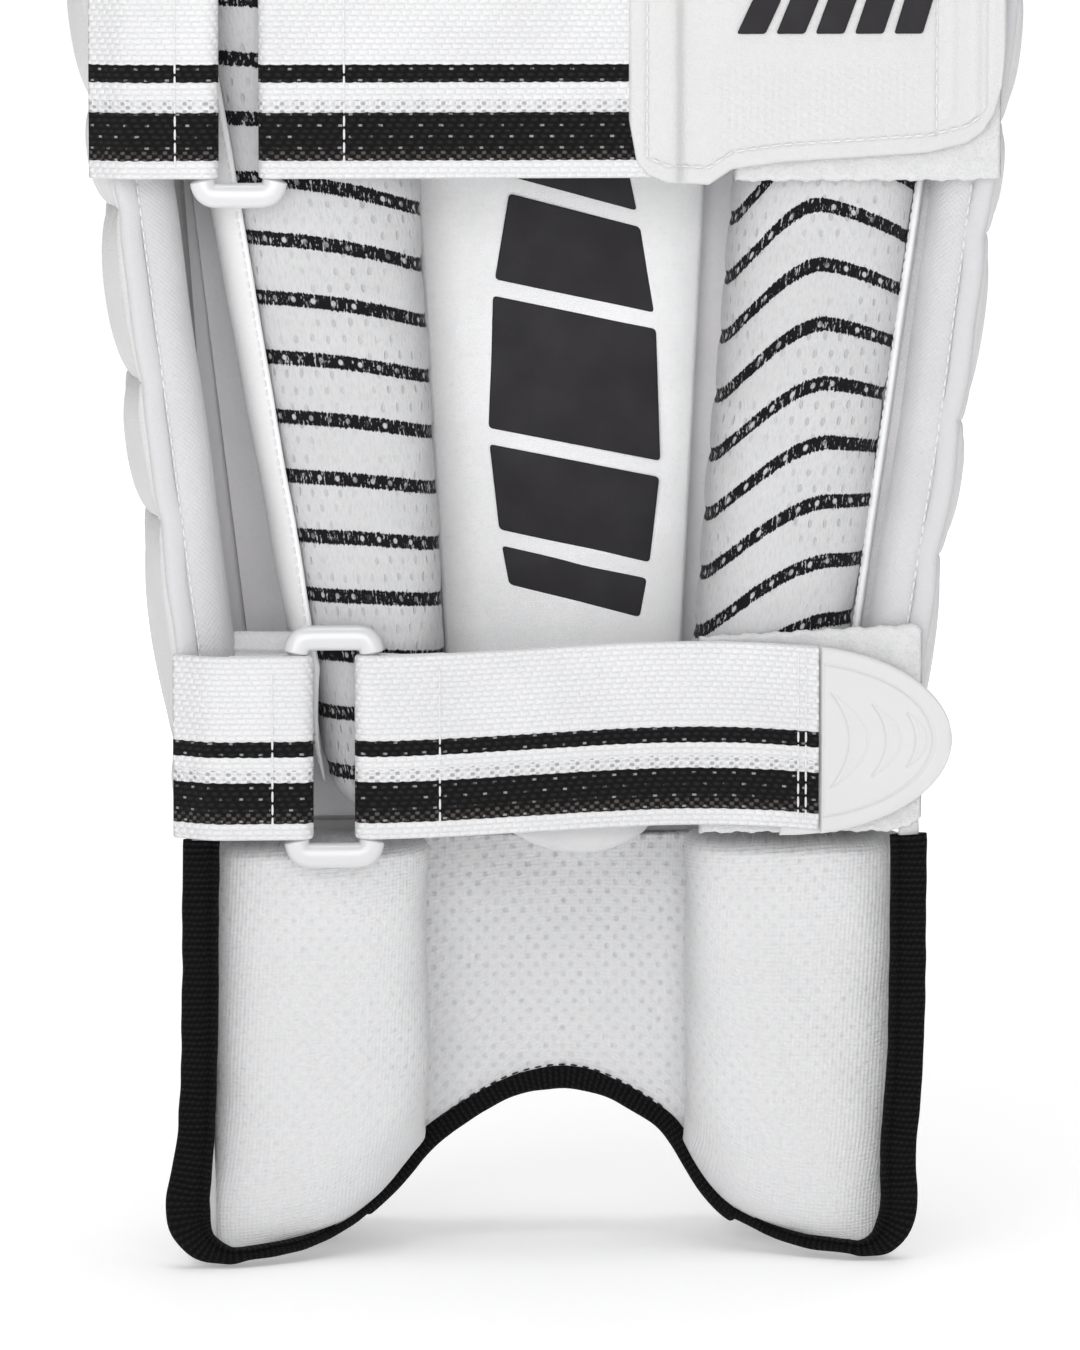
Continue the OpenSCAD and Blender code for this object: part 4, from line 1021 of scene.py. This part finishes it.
def strap_parts(key, bars, y, z, h, x0, x1, body, mat, bow):
    f = FACE - 0.95
    lead, away = f"{key}_buckle", f"{key}_fastener"
    # short piece: from the side wall to the first bar, round it and back
    start = spline([(x0 + 0.6, y + 4.6), (x0 + 4, y + 1.8), (x0 + 9, y - 2.4), (x0 + 13, y - f), (x0 + 18, y - f)], 26)
    b = bars[0]
    path = np.concatenate([start[:-1], line(start[-1], (b - 0.4, y - f), 14)[:-1], arc(b, y, f, -90, 90, 22)[:-1],
                           spline([(b, y + f), (b - 4, y + f - 0.6), (b - 8, y - 0.6), (b - 11, y - f + 2.2), (max(b - 15, x0 + 17), y - f + 1.95)], 18)[:-1],
                           line((max(b - 15, x0 + 17), y - f + 1.95), (x0 + 14.5, y - f + 1.95), 5)])
    band(f"{key}_anchor_web", path, z, z + h, 1.85, body, mat, "webbing", (f"{key}_anchor",), wobble=0.12)
    # long piece: from under the tab's end to the second bar, round it and back
    b = bars[1]
    path = np.concatenate([line((x1, y - f), (b, y - f), 150)[:-1], arc(b, y, f, 270, 90, 22)[:-1],
                           spline([(b, y + f), (b + 4, y + f - 0.6), (b + 8, y - 0.6), (b + 11, y - f + 2.2), (b + 15, y - f + 1.95)], 18)[:-1],
                           line((b + 15, y - f + 1.95), (b + 19, y - f + 1.95), 6)])
    rise = lambda x: bow * np.clip(np.sin(2.66 * np.clip((x - b) / (x1 - b), 0, 1) ** 1.55), 0, 1)
    band(f"{key}_strap_web", path, z, z + h, 1.85, away, mat, "webbing", (f"{key}_strap",), rise=rise, wobble=0.22)
    out = (0, -1, 0)
    yy = y - f - 1.05
    col = lambda x, a=3.0: np.stack([np.full(14, x), np.full(14, yy), np.linspace(z + a, z + h - a, 14)], 1)
    stitches(f"{key}_anchor_thread", [(col(b - 19.5 - 6.5), out)], body, 3.4, 2.8, 0.3)
    rows = [(col(b + 17.5) + [0, 0, bow * 0.35], out)] + ([(col(x1 - 3.4, 2.4) + [0, 0, bow * 0.47], out), (col(x1 - 5.4, 2.4) + [0, 0, bow * 0.5], out)] if key != "calf" else [(col(x1 - 3.2, 2.4), out)])
    stitches(f"{key}_strap_thread", rows, away, 3.4, 2.8, 0.3)


def relief(name, xs, low, high, height, y_face, t, body, mat, rep, n=120, edge=1.1, back=None):
    """A plate between two outlines low(x) and high(x), its face raised by height(x, z) and rolled at the edge."""
    xs = np.asarray(xs, float)
    v = 0.5 - 0.5 * np.cos(np.linspace(0, pi, n))
    lo, hi = low(xs), high(xs)
    X = np.repeat(xs[:, None], n, 1)
    Z = lo[:, None] + (hi - lo)[:, None] * v
    dx = np.minimum(xs - xs[0], xs[-1] - xs)[:, None]
    near = np.minimum(np.minimum(Z - lo[:, None], hi[:, None] - Z), dx * 1.0 + 0 * Z)
    roll = 1 - np.sqrt(np.clip(1 - (1 - np.clip(near / edge, 0, 1)) ** 2, 0, 1))
    face = y_face - height(X, Z) + roll * t * 0.5
    rear = np.full_like(face, y_face + t) - roll * t * 0.45
    F = np.stack([X, face, Z], -1)
    B = np.stack([X, rear, Z], -1)[:, ::-1]
    P = np.concatenate([F, B, F[:, :1]], 1)
    uv = np.stack([P[..., 0], P[..., 2]], -1) / 1000
    P = np.concatenate([P[:1] * [1, 0, 1] + [0, y_face + t * 0.5, 0], P, P[-1:] * [1, 0, 1] + [0, y_face + t * 0.5, 0]])
    uv = np.concatenate([uv[:1], uv, uv[-1:]])
    nn, m = P.shape[:2]
    me = mesh_of(name, P.reshape(-1, 3), grid_faces(nn, m), uv.reshape(-1, 2))
    return piece(name, me, body, mat, rep)


def oval_tab(key, x0, y, z, h, body):
    """Moulded half oval with a raised rim line and three crescent grooves."""
    zc, a, b = z + h / 2, 43.0, 25.0
    s = y - FACE

    def edge(x, ax, bz):
        return bz * np.sqrt(np.clip(1 - (np.clip(x - x0 - 2, 0, None) / ax) ** 2, 0, 1))

    xs = np.concatenate([np.linspace(x0, x0 + 38, 170)[:-1], x0 + 2 + a * np.sin(np.linspace(math.asin(36 / a), pi / 2, 70))])

    def height(X, Z):
        hh = 1.5 * np.clip((X - x0 - 10.2) / 0.7, 0, 1) * np.ones_like(Z)
        # a fine contour line inside the rim
        r = np.sqrt((np.clip(X - x0 - 2, 0, None) / (a - 4.8)) ** 2 + ((Z - zc) / (b - 4.4)) ** 2)
        on = X > x0 + 11.4
        hh = hh - 0.42 * np.exp(-((r - 1.0) / 0.014) ** 2) * on - 0.16 * (1 / (1 + np.exp((r - 1.0) / 0.012))) * on
        for tip, ch, ao, ai in ((13.3, 12.4, 9.6, 5.0), (24.0, 9.5, 7.6, 3.9), (33.2, 7.1, 5.4, 2.5)):
            k = np.clip(1 - ((Z - zc) / ch) ** 2, 0, 1)
            lo, hi = x0 + tip + ai * k, x0 + tip + ao * k
            inside = np.clip(np.minimum(X - lo, hi - X) / 0.8, 0, 1) * (np.abs(Z - zc) < ch)
            near = np.minimum(np.abs(X - lo), np.abs(X - hi))
            hh = hh - 0.30 * inside - 0.38 * np.exp(-(near / 0.33) ** 2) * (np.abs(Z - zc) < ch)
        return hh

    relief(f"{key}_tab_moulded", xs, lambda x: zc - edge(x, a, b), lambda x: zc + edge(x, a, b), height,
           s + 1.95, 1.7, body, "tab_plastic", (f"{key}_tab",), n=210, edge=1.3)
    xs = x0 + 3.5 + 34 * np.sin(np.linspace(0.02, pi / 2, 50))
    relief(f"{key}_hook_cloth", xs, lambda x: zc - 21 * np.sqrt(np.clip(1 - ((x - x0 - 3) / 35.5) ** 2, 0, 1)),
           lambda x: zc + 21 * np.sqrt(np.clip(1 - ((x - x0 - 3) / 35.5) ** 2, 0, 1)), lambda X, Z: 0 * X,
           s + 4.1, 1.25, body, "hook", (f"{key}_hook_patch",), n=30, edge=0.5)


def loop_cloth(name, x0, x1, y, t, z, h, body, rep):
    """Brushed band that dips between what it is sewn to, with a fuzzy uneven edge."""
    xs = np.linspace(x0, x1, 90)
    fuzz = lambda k: 0.22 * np.sin(xs * 0.9 + k) + 0.12 * np.sin(xs * 2.3 + 2 * k)
    rake = 3.0 if rep == "ankle_loop_patch" else 0.6
    q = lambda x: (x - x0) / (x1 - x0)
    relief(name, xs, lambda x: z + 0.8 + fuzz(1) + rake * 1.2 * np.clip((q(x) - 0.84) / 0.16, 0, 1) ** 2,
           lambda x: z + h - 0.8 + fuzz(5) + rake * q(x) - 1.5 * np.clip((q(x) - 0.97) / 0.03, 0, 1) ** 2, lambda X, Z: wave(np.stack([X, 0 * X, Z], -1), 0.15, 9, 4) - 0.15,
           y + 0.1, t * 0.8, body, "loop", (rep,), n=70, edge=1.2)


def calf_tab():
    s = -61.5 - FACE
    low = lambda x: np.interp(x, [20, 22, 25, 30, 41, 47, 60, 98, 108, 112, 115, 117, 118.2], [300, 289, 285.6, 283.6, 283.0, 287.0, 288.8, 291.2, 293.6, 296.4, 301, 308, 322])
    high = lambda x: np.interp(x, [20, 22, 25, 30, 105, 109, 112, 115, 117, 118.2], [350, 354.4, 356.6, 357.6, 357.6, 356.4, 354.4, 350.5, 346, 336])
    xs = np.concatenate([np.linspace(20, 26, 14)[:-1], np.linspace(26, 110, 170)[:-1], np.linspace(110, 118.2, 26)])

    def height(X, Z):
        L, H = low(X), high(X)
        d = np.minimum(np.minimum(Z - L, H - Z), np.minimum(X - 20, 118.2 - X))
        g = -0.35 * np.exp(-((d - 4.6) / 0.5) ** 2) + 3.0 / (1 + np.exp((X - 33.2) / 0.55))
        puff = 0.5 * np.clip(d / 9, 0, 1)
        g = g + puff
        # nested round contours at the outer end
        q = np.sqrt(np.clip((X - 96) / 15, 0, None) ** 2 + (np.clip(np.abs(Z - 320) - 17, 0, None) / 9) ** 2)
        g = g + 0.3 * np.clip(np.sin(q * 15), 0, 1) * (X > 100) * (d > 5.5)
        g = g - 0.4 * np.exp(-((X - 100) / 0.4) ** 2) * (d > 4)
        # fine hexagonal texture along the lower half
        hx = np.cos(2 * pi * (X * 0.5 + (Z - 300) * 0.866) / 1.9) + np.cos(2 * pi * (X * 0.5 - (Z - 300) * 0.866) / 1.9) + np.cos(2 * pi * X / 1.9)
        zone = (Z > L + 6) & (Z < 314) & (X > 42) & (X < 96)
        return g + 0.16 * np.clip(hx / 2, -0.5, 1) * zone

    relief("calf_tab_leather", xs, low, high, height, s + 1.95, 2.1, "calf_fastener", "pu_white", ("calf_tab",), n=190, edge=1.0)
    relief("calf_hook_cloth", np.linspace(52, 110, 30), lambda x: 294.5 + 0 * x, lambda x: 346.0 + 0 * x, lambda X, Z: 0 * X, s + 4.3, 1.15,
           "calf_fastener", "hook", ("calf_hook_patch",), n=30, edge=0.5)
    bot = np.stack([np.linspace(25.5, 112, 110), np.full(110, s + 1.55), low(np.linspace(25.5, 112, 110)) + 4.6], 1)
    left = np.stack([np.full(40, 24.6), np.full(40, s - 1.45), np.linspace(352, 290.5, 40)], 1)
    bot[:, 1] -= 3.0 / (1 + np.exp((bot[:, 0] - 33.2) / 0.55))
    wall = np.stack([np.full(30, 100.0), np.full(30, s + 1.5), np.linspace(297, 352, 30)], 1)
    top = bot.copy()
    top[:, 2] = 353.2
    stitches("calf_tab_thread", [(bot, (0, -1, 0)), (left, (0, -1, 0)), (wall, (0, -1, 0)), (top, (0, -1, 0))], "calf_fastener", 3.1, 2.3, 0.27)
    marks = []
    for i in range(5):
        x = 48 + i * 10.2
        w = 7.4
        marks.append(slab(f"m{i}", dense([(x, 322), (x + w, 322), (x + w + 4.2, 331 + 1.2 * i), (x + 4.2, 331 + 1.2 * i)], 1.2, 0.8), s + 1.15, 0.5, None, None))
    piece("calf_tab_print", merge(marks, "calf_tab_print"), "calf_fastener", "ink")


AZ, CZ, TZ = 113.5, 285.0, 534.0
strap_parts("ankle", (-66, -46.5), -61.5, AZ, 48, -98, 69.8, "shin_guard", "web_ankle", 3.2)
strap_parts("calf", (-90, -71), -61.5, CZ, 70, -119, 30, "shin_guard", "web_calf", 0.0)
strap_parts("thigh", (-90, -71), -52, TZ, 48, -114, 77, "top_hat", "web_ankle", 2.0)
ring_buckle("ankle_ring", (-66, -46.5), -61.5, AZ, 48, "ankle_buckle")
ring_buckle("calf_ring", (-90, -71), -61.5, CZ, 70, "calf_buckle")
ring_buckle("thigh_ring", (-90, -71), -52, TZ, 48, "thigh_buckle")
oval_tab("ankle", 59.8, -61.5, AZ + 1.0, 48, "ankle_fastener")
oval_tab("thigh", 67, -52, TZ, 48, "thigh_fastener")
calf_tab()
loop_cloth("ankle_loop_cloth", 39, 97.5, -60.2, 4.2, AZ - 0.5, 53, "shin_guard", "ankle_loop_patch")
loop_cloth("calf_loop_cloth", 48, 117.5, -60.2, 4.2, CZ - 2, 74, "shin_guard", "calf_loop_patch")
loop_cloth("thigh_loop_cloth", 60, 112, -50.7, 5, TZ - 1, 50, "top_hat", "thigh_loop_patch")

# ---------------------------------------------------------------- front rolls


def board_y(x):
    return 2 - x * x / 1800


def padded_roll(name, p0, p1, r0, r1, body, rep, dome=(True, True), seed=0.0, squash=0.97, rings=150, cross=72, lobes=0.0):
    """A stuffed vertical roll: flatter against the board, crowned in front, with soft stitched ends."""
    p0, p1 = np.asarray(p0, float), np.asarray(p1, float)
    ax = (p1 - p0) / np.linalg.norm(p1 - p0)
    L = np.linalg.norm(p1 - p0)
    X = np.array([1, 0, 0]) - ax * ax[0]
    X /= np.linalg.norm(X)
    Y = np.cross(ax, X)
    a = np.linspace(0.02, pi / 2, 14)
    lo = np.stack([-r0 * (1 - np.sin(a)) * 0 - r0 * np.cos(a), np.sin(a)], 1) if dome[0] else np.array([(0, 0.0), (0, 0.5), (0, 0.93), (0.4, 0.985), (1.2, 1)])
    hi = np.stack([L + r1 * np.cos(a), np.sin(a)], 1)[::-1]
    mid = np.stack([np.linspace(1.5, L - 1, rings), np.ones(rings)], 1)
    prof = np.concatenate([lo, mid, hi])
    t = np.linspace(0, 2 * pi, cross)
    P = []
    for s, q in prof:
        r = mixf(r0, r1, np.clip(s / L, 0, 1)) * squash * q
        x, y = sell(t, r, r, 2.15)
        crown = np.where(y > 0, 1.0 + 0.02 * np.sin(s / 23 + seed), 0.985)
        P.append(p0 + ax * s + X * x[:, None] + Y * (y * crown)[:, None])
    P = np.array(P)
    N = grid_normals(P, True)
    k = len(P) // 2
    if N[k, 0] @ (P[k, 0] - P[k].mean(0)) < 0:
        N = -N
    P = P + N * (wave(P, 0.22, 43, seed) + wave(P, 0.12, 15, seed + 5))[..., None]
    return skin(name, P, metric_uv(P), body, "pu_white", rep, caps=dome[0] is False or True)


def shin_rolls():
    def roll_r(z):
        return mixf(10.8, 15.2, z / 392)

    def at(k, z):
        x = k * mixf(22, 31, z / 392)
        return np.array([x, board_y(x) + roll_r(z) + 0.25, z])

    rows = []
    for k in range(-3, 4):
        if abs(k) == 3:
            foot = 0.8
        else:
            d = abs(k * 22 - 4)
            foot = (math.sqrt(max(54.17 ** 2 - d * d, 0)) - 15.17 if d < 52 else 0) + 6 + 10.8
        head = 392 - 3.2 - 15.2
        a, b = at(k, foot), at(k, head)
        padded_roll(f"shin_roll_{k + 4}_cover", a, b, roll_r(foot) - 0.1, roll_r(head) - 0.1, "shin_guard", (f"shin_roll_{k + 4}",), dome=(abs(k) < 3, True), seed=k + 4)
        if k < 3:
            zz = np.linspace(max(foot, 24) + 16, 372, 70)
            xm = (k + 0.5) * (22 + 9 * zz / 392)
            y = board_y(xm) + mixf(10.8, 15.2, zz / 392) * 0.72
            rows.append((xm, y, zz))
    # valley cord sewn between the rolls
    for i, (x, y, z) in enumerate(rows):
        path = spline(np.stack([x, y, z], 1), 160)
        w = np.clip(np.minimum(np.arange(160), 159 - np.arange(160)) / 12, 0.2, 1)
        ribbon(f"shin_valley_{i + 1}", path, 1.5 * w, 1.5 * w, (0, 1, 0), "shin_guard", "pu_trim", e=2.0, rib=0.0, cross=13)


shin_rolls()


def knee_roll(i, body):
    node = ("knee_roll_lower", "knee_roll_middle", "knee_roll_upper")[i]
    z = 392 + (i + 0.5) * 40
    t = np.concatenate([np.linspace(-100, -96, 8), np.linspace(-94, 94, 220), np.linspace(96, 100, 8)])
    u = np.abs(t) / 100
    f = np.sqrt(np.clip(1 - np.clip((np.abs(t) - 94) / 6.05, 0, 1) ** 2, 0.0004, 1))
    r = 19.6 * (1 - 0.14 * u ** 4) * f
    d = 18 * (1 - 0.3 * u ** 3) * f
    a = np.linspace(0, 2 * pi, 80)
    rings = []
    for k in range(len(t)):
        th = math.radians(t[k])
        c = np.array([110 * math.sin(th), -14 + 38 * math.cos(th), z])
        T = np.array([110 * math.cos(th), -38 * math.sin(th)])
        T /= np.linalg.norm(T)
        x, y = sell(a, d[k], r[k], 2.15)
        rings.append(np.stack([c[0] - T[1] * x, c[1] + T[0] * x, z + y], 1))
    P = np.array(rings)
    N = grid_normals(P, True)
    if N[100, 0] @ (P[100, 0] - P[100].mean(0)) < 0:
        N = -N
    ends = np.clip((u - 0.55) / 0.45, 0, 1)[:, None]
    pucker = 0.55 * ends * np.sin(np.arctan2(P[..., 2] - z, 1.0) * 0 + a[None, :] * 9 + t[:, None] * 0.05)
    P = P + N * (np.minimum(pucker, 0.3) - 0.25 * ends + wave(P, 0.3, 60, i) + wave(P, 0.15, 19, i + 6))[..., None]
    skin(node + "_cover", P, metric_uv(P), body, "pu_white", (node,))
    # seam round the front with thread either side
    th = np.radians(np.linspace(-88, 88, 150))
    for k, dz in enumerate((-1, 1)):
        pass
    tt = np.radians(np.linspace(-84, 84, 160))
    rows = []
    for dz in (-12.4, 12.4):
        q = math.sqrt(1 - (abs(dz) / 19.6) ** 2.15) ** 0.93
        x = 110 * np.sin(tt)
        y = -14 + 38 * np.cos(tt)
        T = np.stack([110 * np.cos(tt), -38 * np.sin(tt)], 1)
        T /= np.linalg.norm(T, axis=1, keepdims=True)
        dd = 18 * (1 - 0.3 * (np.abs(np.degrees(tt)) / 100) ** 3) * q
        path = np.stack([x - T[:, 1] * dd, y + T[:, 0] * dd, np.full_like(x, z + dz)], 1)
        rows.append((path, np.stack([-T[:, 1], T[:, 0], np.full_like(x, np.sign(dz) * 0.6)], 1)))
    stitches(node + "_thread", rows, body, 4.2, 2.9, 0.3)


def cushion(i, body):
    node = ("knee_cushion_lower", "knee_cushion_middle", "knee_cushion_upper")[i]
    z = 392 + (i + 0.5) * 40
    e = np.linspace(0.05, pi / 2, 14)
    xs = np.concatenate([-72 + 8 * (1 - np.sin(e)) * 0 + 8 * (1 - np.cos(e - 0)) * 0 - 0 + 8 * (1 - np.cos(e)), np.linspace(-63, 63, 120), 72 - 8 * (1 - np.cos(e[::-1]))])
    sh = np.concatenate([8 * (1 - np.sin(e)), np.zeros(120), 8 * (1 - np.sin(e[::-1]))])
    xs = np.concatenate([-72 + 8 * (1 - np.cos(e)), np.linspace(-63, 63, 120), 72 - 8 * (1 - np.cos(e[::-1]))])
    a = np.linspace(0, 2 * pi, 72)
    rings = []
    for x, q in zip(xs, sh):
        y, zz = sell(a, 13 - q, 16.8 - q, 2.6)
        rings.append(np.stack([np.full(72, x + 4), -11.5 - 0.0012 * x * x + y, z + zz], 1))
    P = np.array(rings)
    N = grid_normals(P, True)
    if N[70, 0] @ (P[70, 0] - P[70].mean(0)) < 0:
        N = -N
    P = P + N * (wave(P, 0.4, 36, i) - 0.2)[..., None]
    skin(node + "_knit", P, metric_uv(P), body, "knit_plain", (node,))


for i, body in enumerate(("knee_lower", "knee_middle", "top_hat")):
    knee_roll(i, body)
    cushion(i, body)

# ---------------------------------------------------------------- top hat


def hat_half(z):
    return mixf(112, 98, (z - 512) / 268)


def hat_outline(g, n=40):
    out = [(-hat_half(512) - g + 3, 517), (hat_half(512) + g - 3, 517)]
    c = hat_half(740) - 40
    for s in (1, -1):
        for i in range(n):
            t = 90 * i / (n - 1) if s > 0 else 90 - 90 * i / (n - 1)
            out.append((s * (c + (37 + g) * math.cos(math.radians(t))), 737 + (37 + g) * math.sin(math.radians(t))))
    return np.array(out)


def top_hat():
    # quilted lining: a pillow cut to the outline, in columns of x against height
    zs = np.concatenate([np.linspace(517, 522, 8)[:-1], np.linspace(522, 764, 170)[:-1], np.linspace(764, 773.7, 22)])
    t = np.linspace(-1, 1, 131)
    c = hat_half(740) - 40

    def half(z):
        if z < 737:
            return mixf(hat_half(512) - 3, c + 37, (z - 517) / 220)
        return c + math.sqrt(max(37 ** 2 - (z - 737) ** 2, 0.2))

    rings = []
    for z in zs:
        w = half(z) - 0.4
        x = w * t
        k = np.minimum((1 - np.abs(t)) * w, min(z - 516.6, 774.2 - z))
        puff = np.clip(k / 9, 0, 1)
        puff = np.sqrt(1 - (1 - puff) ** 2)
        ch = 0.5 - 0.5 * np.cos(2 * pi * (z - 517) / 64.3)
        quilt = 0.72 + 0.28 * np.clip(ch * 3, 0, 1) ** 0.6
        b = 2 - x * x / 1800 - 4.4
        rear = b - 2.6 - 6.6 * puff * quilt
        ring = np.concatenate([np.stack([x, rear], 1), np.stack([x[::-1], b[::-1]], 1)])
        ring = np.concatenate([ring, ring[:1]])
        rings.append(np.concatenate([ring, np.full((len(ring), 1), z)], 1))
    P = np.array(rings)
    P[..., 1] += wave(P, 0.35, 48, 2) * (P[..., 1] < -6)
    skin("top_hat_lining_cloth", P, metric_uv(P), "top_hat", "lining", ("top_hat_lining",))
    rows = []
    for z in (517 + 64.3, 517 + 128.6, 517 + 192.9):
        w = half(z) - 9
        x = np.linspace(-w, w, 90)
        rows.append((np.stack([x, 2 - x * x / 1800 - 4.4 - 2.6 - 6.6 * 0.72 - 0.5, np.full(90, z)], 1), (0, -1, 0)))
    stitches("top_hat_quilt_thread", rows, "top_hat", 3.6, 2.6, 0.32)
    # rolls
    ms = []
    for k in range(-3, 4):
        z1 = 780 - 22 - 3.2 * k * k
        x0, x1 = k * 31.2, k * 27
        a = (x0, board_y(x0) + 15.4 + 0.25, 512 + 4 + 15.4)
        b = (x1, board_y(x1) + 13.2 + 0.25, z1 - 4)
        rep = ("top_hat_rolls",) if k == 0 else ()
        padded_roll(f"top_hat_roll_{k + 4}_cover", a, b, 15.3, 13.1, "top_hat", rep, seed=k + 20)
    for k in range(-3, 3):
        zz = np.linspace(548, 735 - 3.2 * max(abs(k), abs(k + 1)) ** 2, 60)
        f = (zz - 532) / 220
        x = (k + 0.5) * mixf(31.2, 27, f)
        y = board_y(x) + mixf(15.4, 13.2, f) * 0.72
        path = spline(np.stack([x, y, zz], 1), 110)
        w = np.clip(np.minimum(np.arange(110), 109 - np.arange(110)) / 10, 0.2, 1)
        ribbon(f"top_hat_valley_{k + 4}", path, 1.5 * w, 1.5 * w, (0, 1, 0), "top_hat", "pu_trim", e=2.0, rib=0.0, cross=13)
    # binding round the edge
    o = hat_outline(0.6)
    loop = np.concatenate([o[1:], o[:1]])
    path = np.stack([loop[:, 0], 2 - loop[:, 0] ** 2 / 1800 - 6.2, loop[:, 1]], 1)
    keep = [i for i in range(len(path)) if path[i, 2] > 560 or True]
    path = spline(path[np.array(keep)], 520)
    path = path[path[:, 2] > 519]
    T = np.gradient(path, axis=0)
    out = np.stack([T[:, 2], np.zeros(len(T)), -T[:, 0]], 1)
    mid = np.array([0, 0, 640.0])
    sign = np.sign(np.sum(out * (path - mid), 1))
    ribbon("top_hat_edge", path, 8.0, 1.9, out * sign[:, None], "top_hat", "pu_trim", ("top_hat_binding",), e=3.2, rib=0.0)


def thigh_wing(s):
    name = "thigh_left_wing" if s < 0 else "thigh_right_wing"
    f = np.linspace(0, 1, 30)
    zs = np.concatenate([530 + np.array([0, 0.4, 1.2, 2.6, 4.4]), np.linspace(535.5, 580.5, 70), 586.2 - np.array([4.4, 2.6, 1.2, 0.4, 0])])
    rings = []
    for z in zs:
        end = min(z - 530, 586.2 - z)
        q = math.sin(min(1, end / 7.2) * pi / 2)
        u = ((z - 530) / 28.2) % 1
        dip = 2.8 * (1 - (1 - abs(2 * u - 1) ** 2.4) ** 0.55) if 552 < z < 565 else 0.0
        a = np.radians(mixf(-14.5, -38, f))
        path = np.stack([64 + 50 * np.cos(a), -8 + 50 * np.sin(a)], 1)
        ring = around(path, (14.4 - dip) * q, 9)
        rings.append(np.concatenate([ring, np.full((len(ring), 1), z)], 1))
    P = np.array(rings) * [s, 1, 1]
    P += wave(P, 0.3, 30, s)[..., None]
    skin(name + "_cover", P, metric_uv(P), "top_hat", "pu_white", (name,), caps=False)


top_hat()
for s in (-1, 1):
    thigh_wing(s)

# ---------------------------------------------------------------- carried-over solids

for node, mat in {"shin_board": "board", "top_hat_board": "board", "back_lining": "lining", "shin_canes": "cane"}.items():
    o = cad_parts[node]
    for sl in o.material_slots:
        sl.material = MT[mat]

# ---------------------------------------------------------------- stage


def world_point(x, y, z):
    return Vector((x / 1000, (y + SHIFT) / 1000, z / 1000))


floor = bpy.data.meshes.new("floor")
floor.from_pydata([(-30, -30, 0), (30, -30, 0), (30, 30, 0), (-30, 30, 0)], [], [(0, 1, 2, 3)])
stage = bpy.data.objects.new("floor", floor)
bpy.context.scene.collection.objects.link(stage)
fm = Mat("floor_white")
# painted light: the floor glows, weakly near the pad so its contact shadow shows and more strongly far off so the floor
# reads white
floor_glow = fm.step(fm.n("VectorMath", out=1, attrs={"operation": "LENGTH"}, i0=fm.coord.outputs["Object"]), 0.5, 1.8, 0.24, 0.8)
floor.materials.append(fm.done(Base_Color=fm.mix(fm.step(fm.noise(1.2, 2.0), 0.3, 0.7), (0.93, 0.93, 0.93), (0.95, 0.95, 0.95)), Roughness=0.9,
                               Emission_Color=(1, 1, 1), Emission_Strength=floor_glow))


def area(name, loc, target, size, power, col=(1, 1, 1)):
    d = bpy.data.lights.new(name, "AREA")
    d.shape = "RECTANGLE"
    d.size, d.size_y = size
    d.energy = power
    d.color = col
    o = bpy.data.objects.new(name, d)
    o.location = loc
    o.rotation_euler = (Vector(target) - Vector(loc)).to_track_quat("-Z", "Y").to_euler()
    o.visible_camera = False
    bpy.context.scene.collection.objects.link(o)
    return o


area("soft", (-0.35, -3.2, 0.75), (0, 0, 0.25), (2.2, 1.8), 46)
area("key", (-1.3, -1.9, 1.7), (0, 0, 0.25), (1.2, 1.2), 9)
area("front", (0.6, 2.0, 1.8), (0, 0, 0.4), (1.6, 1.2), 10)
area("top", (0, 0.0, 2.4), (0, 0, 0), (1.6, 1.6), 25)
world = bpy.data.worlds.new("studio")
bpy.context.scene.world = world
world.use_nodes = True
world.node_tree.nodes["Background"].inputs[0].default_value = (1, 1, 1, 1)
world.node_tree.nodes["Background"].inputs[1].default_value = 0.32
bpy.context.scene.view_settings.view_transform = "Standard"

cam = bpy.data.cameras.new("camera")
cam.sensor_fit = "VERTICAL"
cam.sensor_height = 36
DIST, VIEW_H = 2.2, 1350 / 3.8 / 1000
cam.lens = 36 * DIST / VIEW_H
camera = bpy.data.objects.new("camera", cam)
bpy.context.scene.collection.objects.link(camera)
bpy.context.scene.camera = camera
az, el = math.radians(-4), math.radians(6)
back = Vector((math.sin(az) * math.cos(el), -math.cos(az) * math.cos(el), math.sin(el)))
target = world_point(-0.8, -35, 153)
camera.location = target + back * DIST
camera.rotation_euler = (-back).to_track_quat("-Z", "Y").to_euler()
cam.clip_end = 30
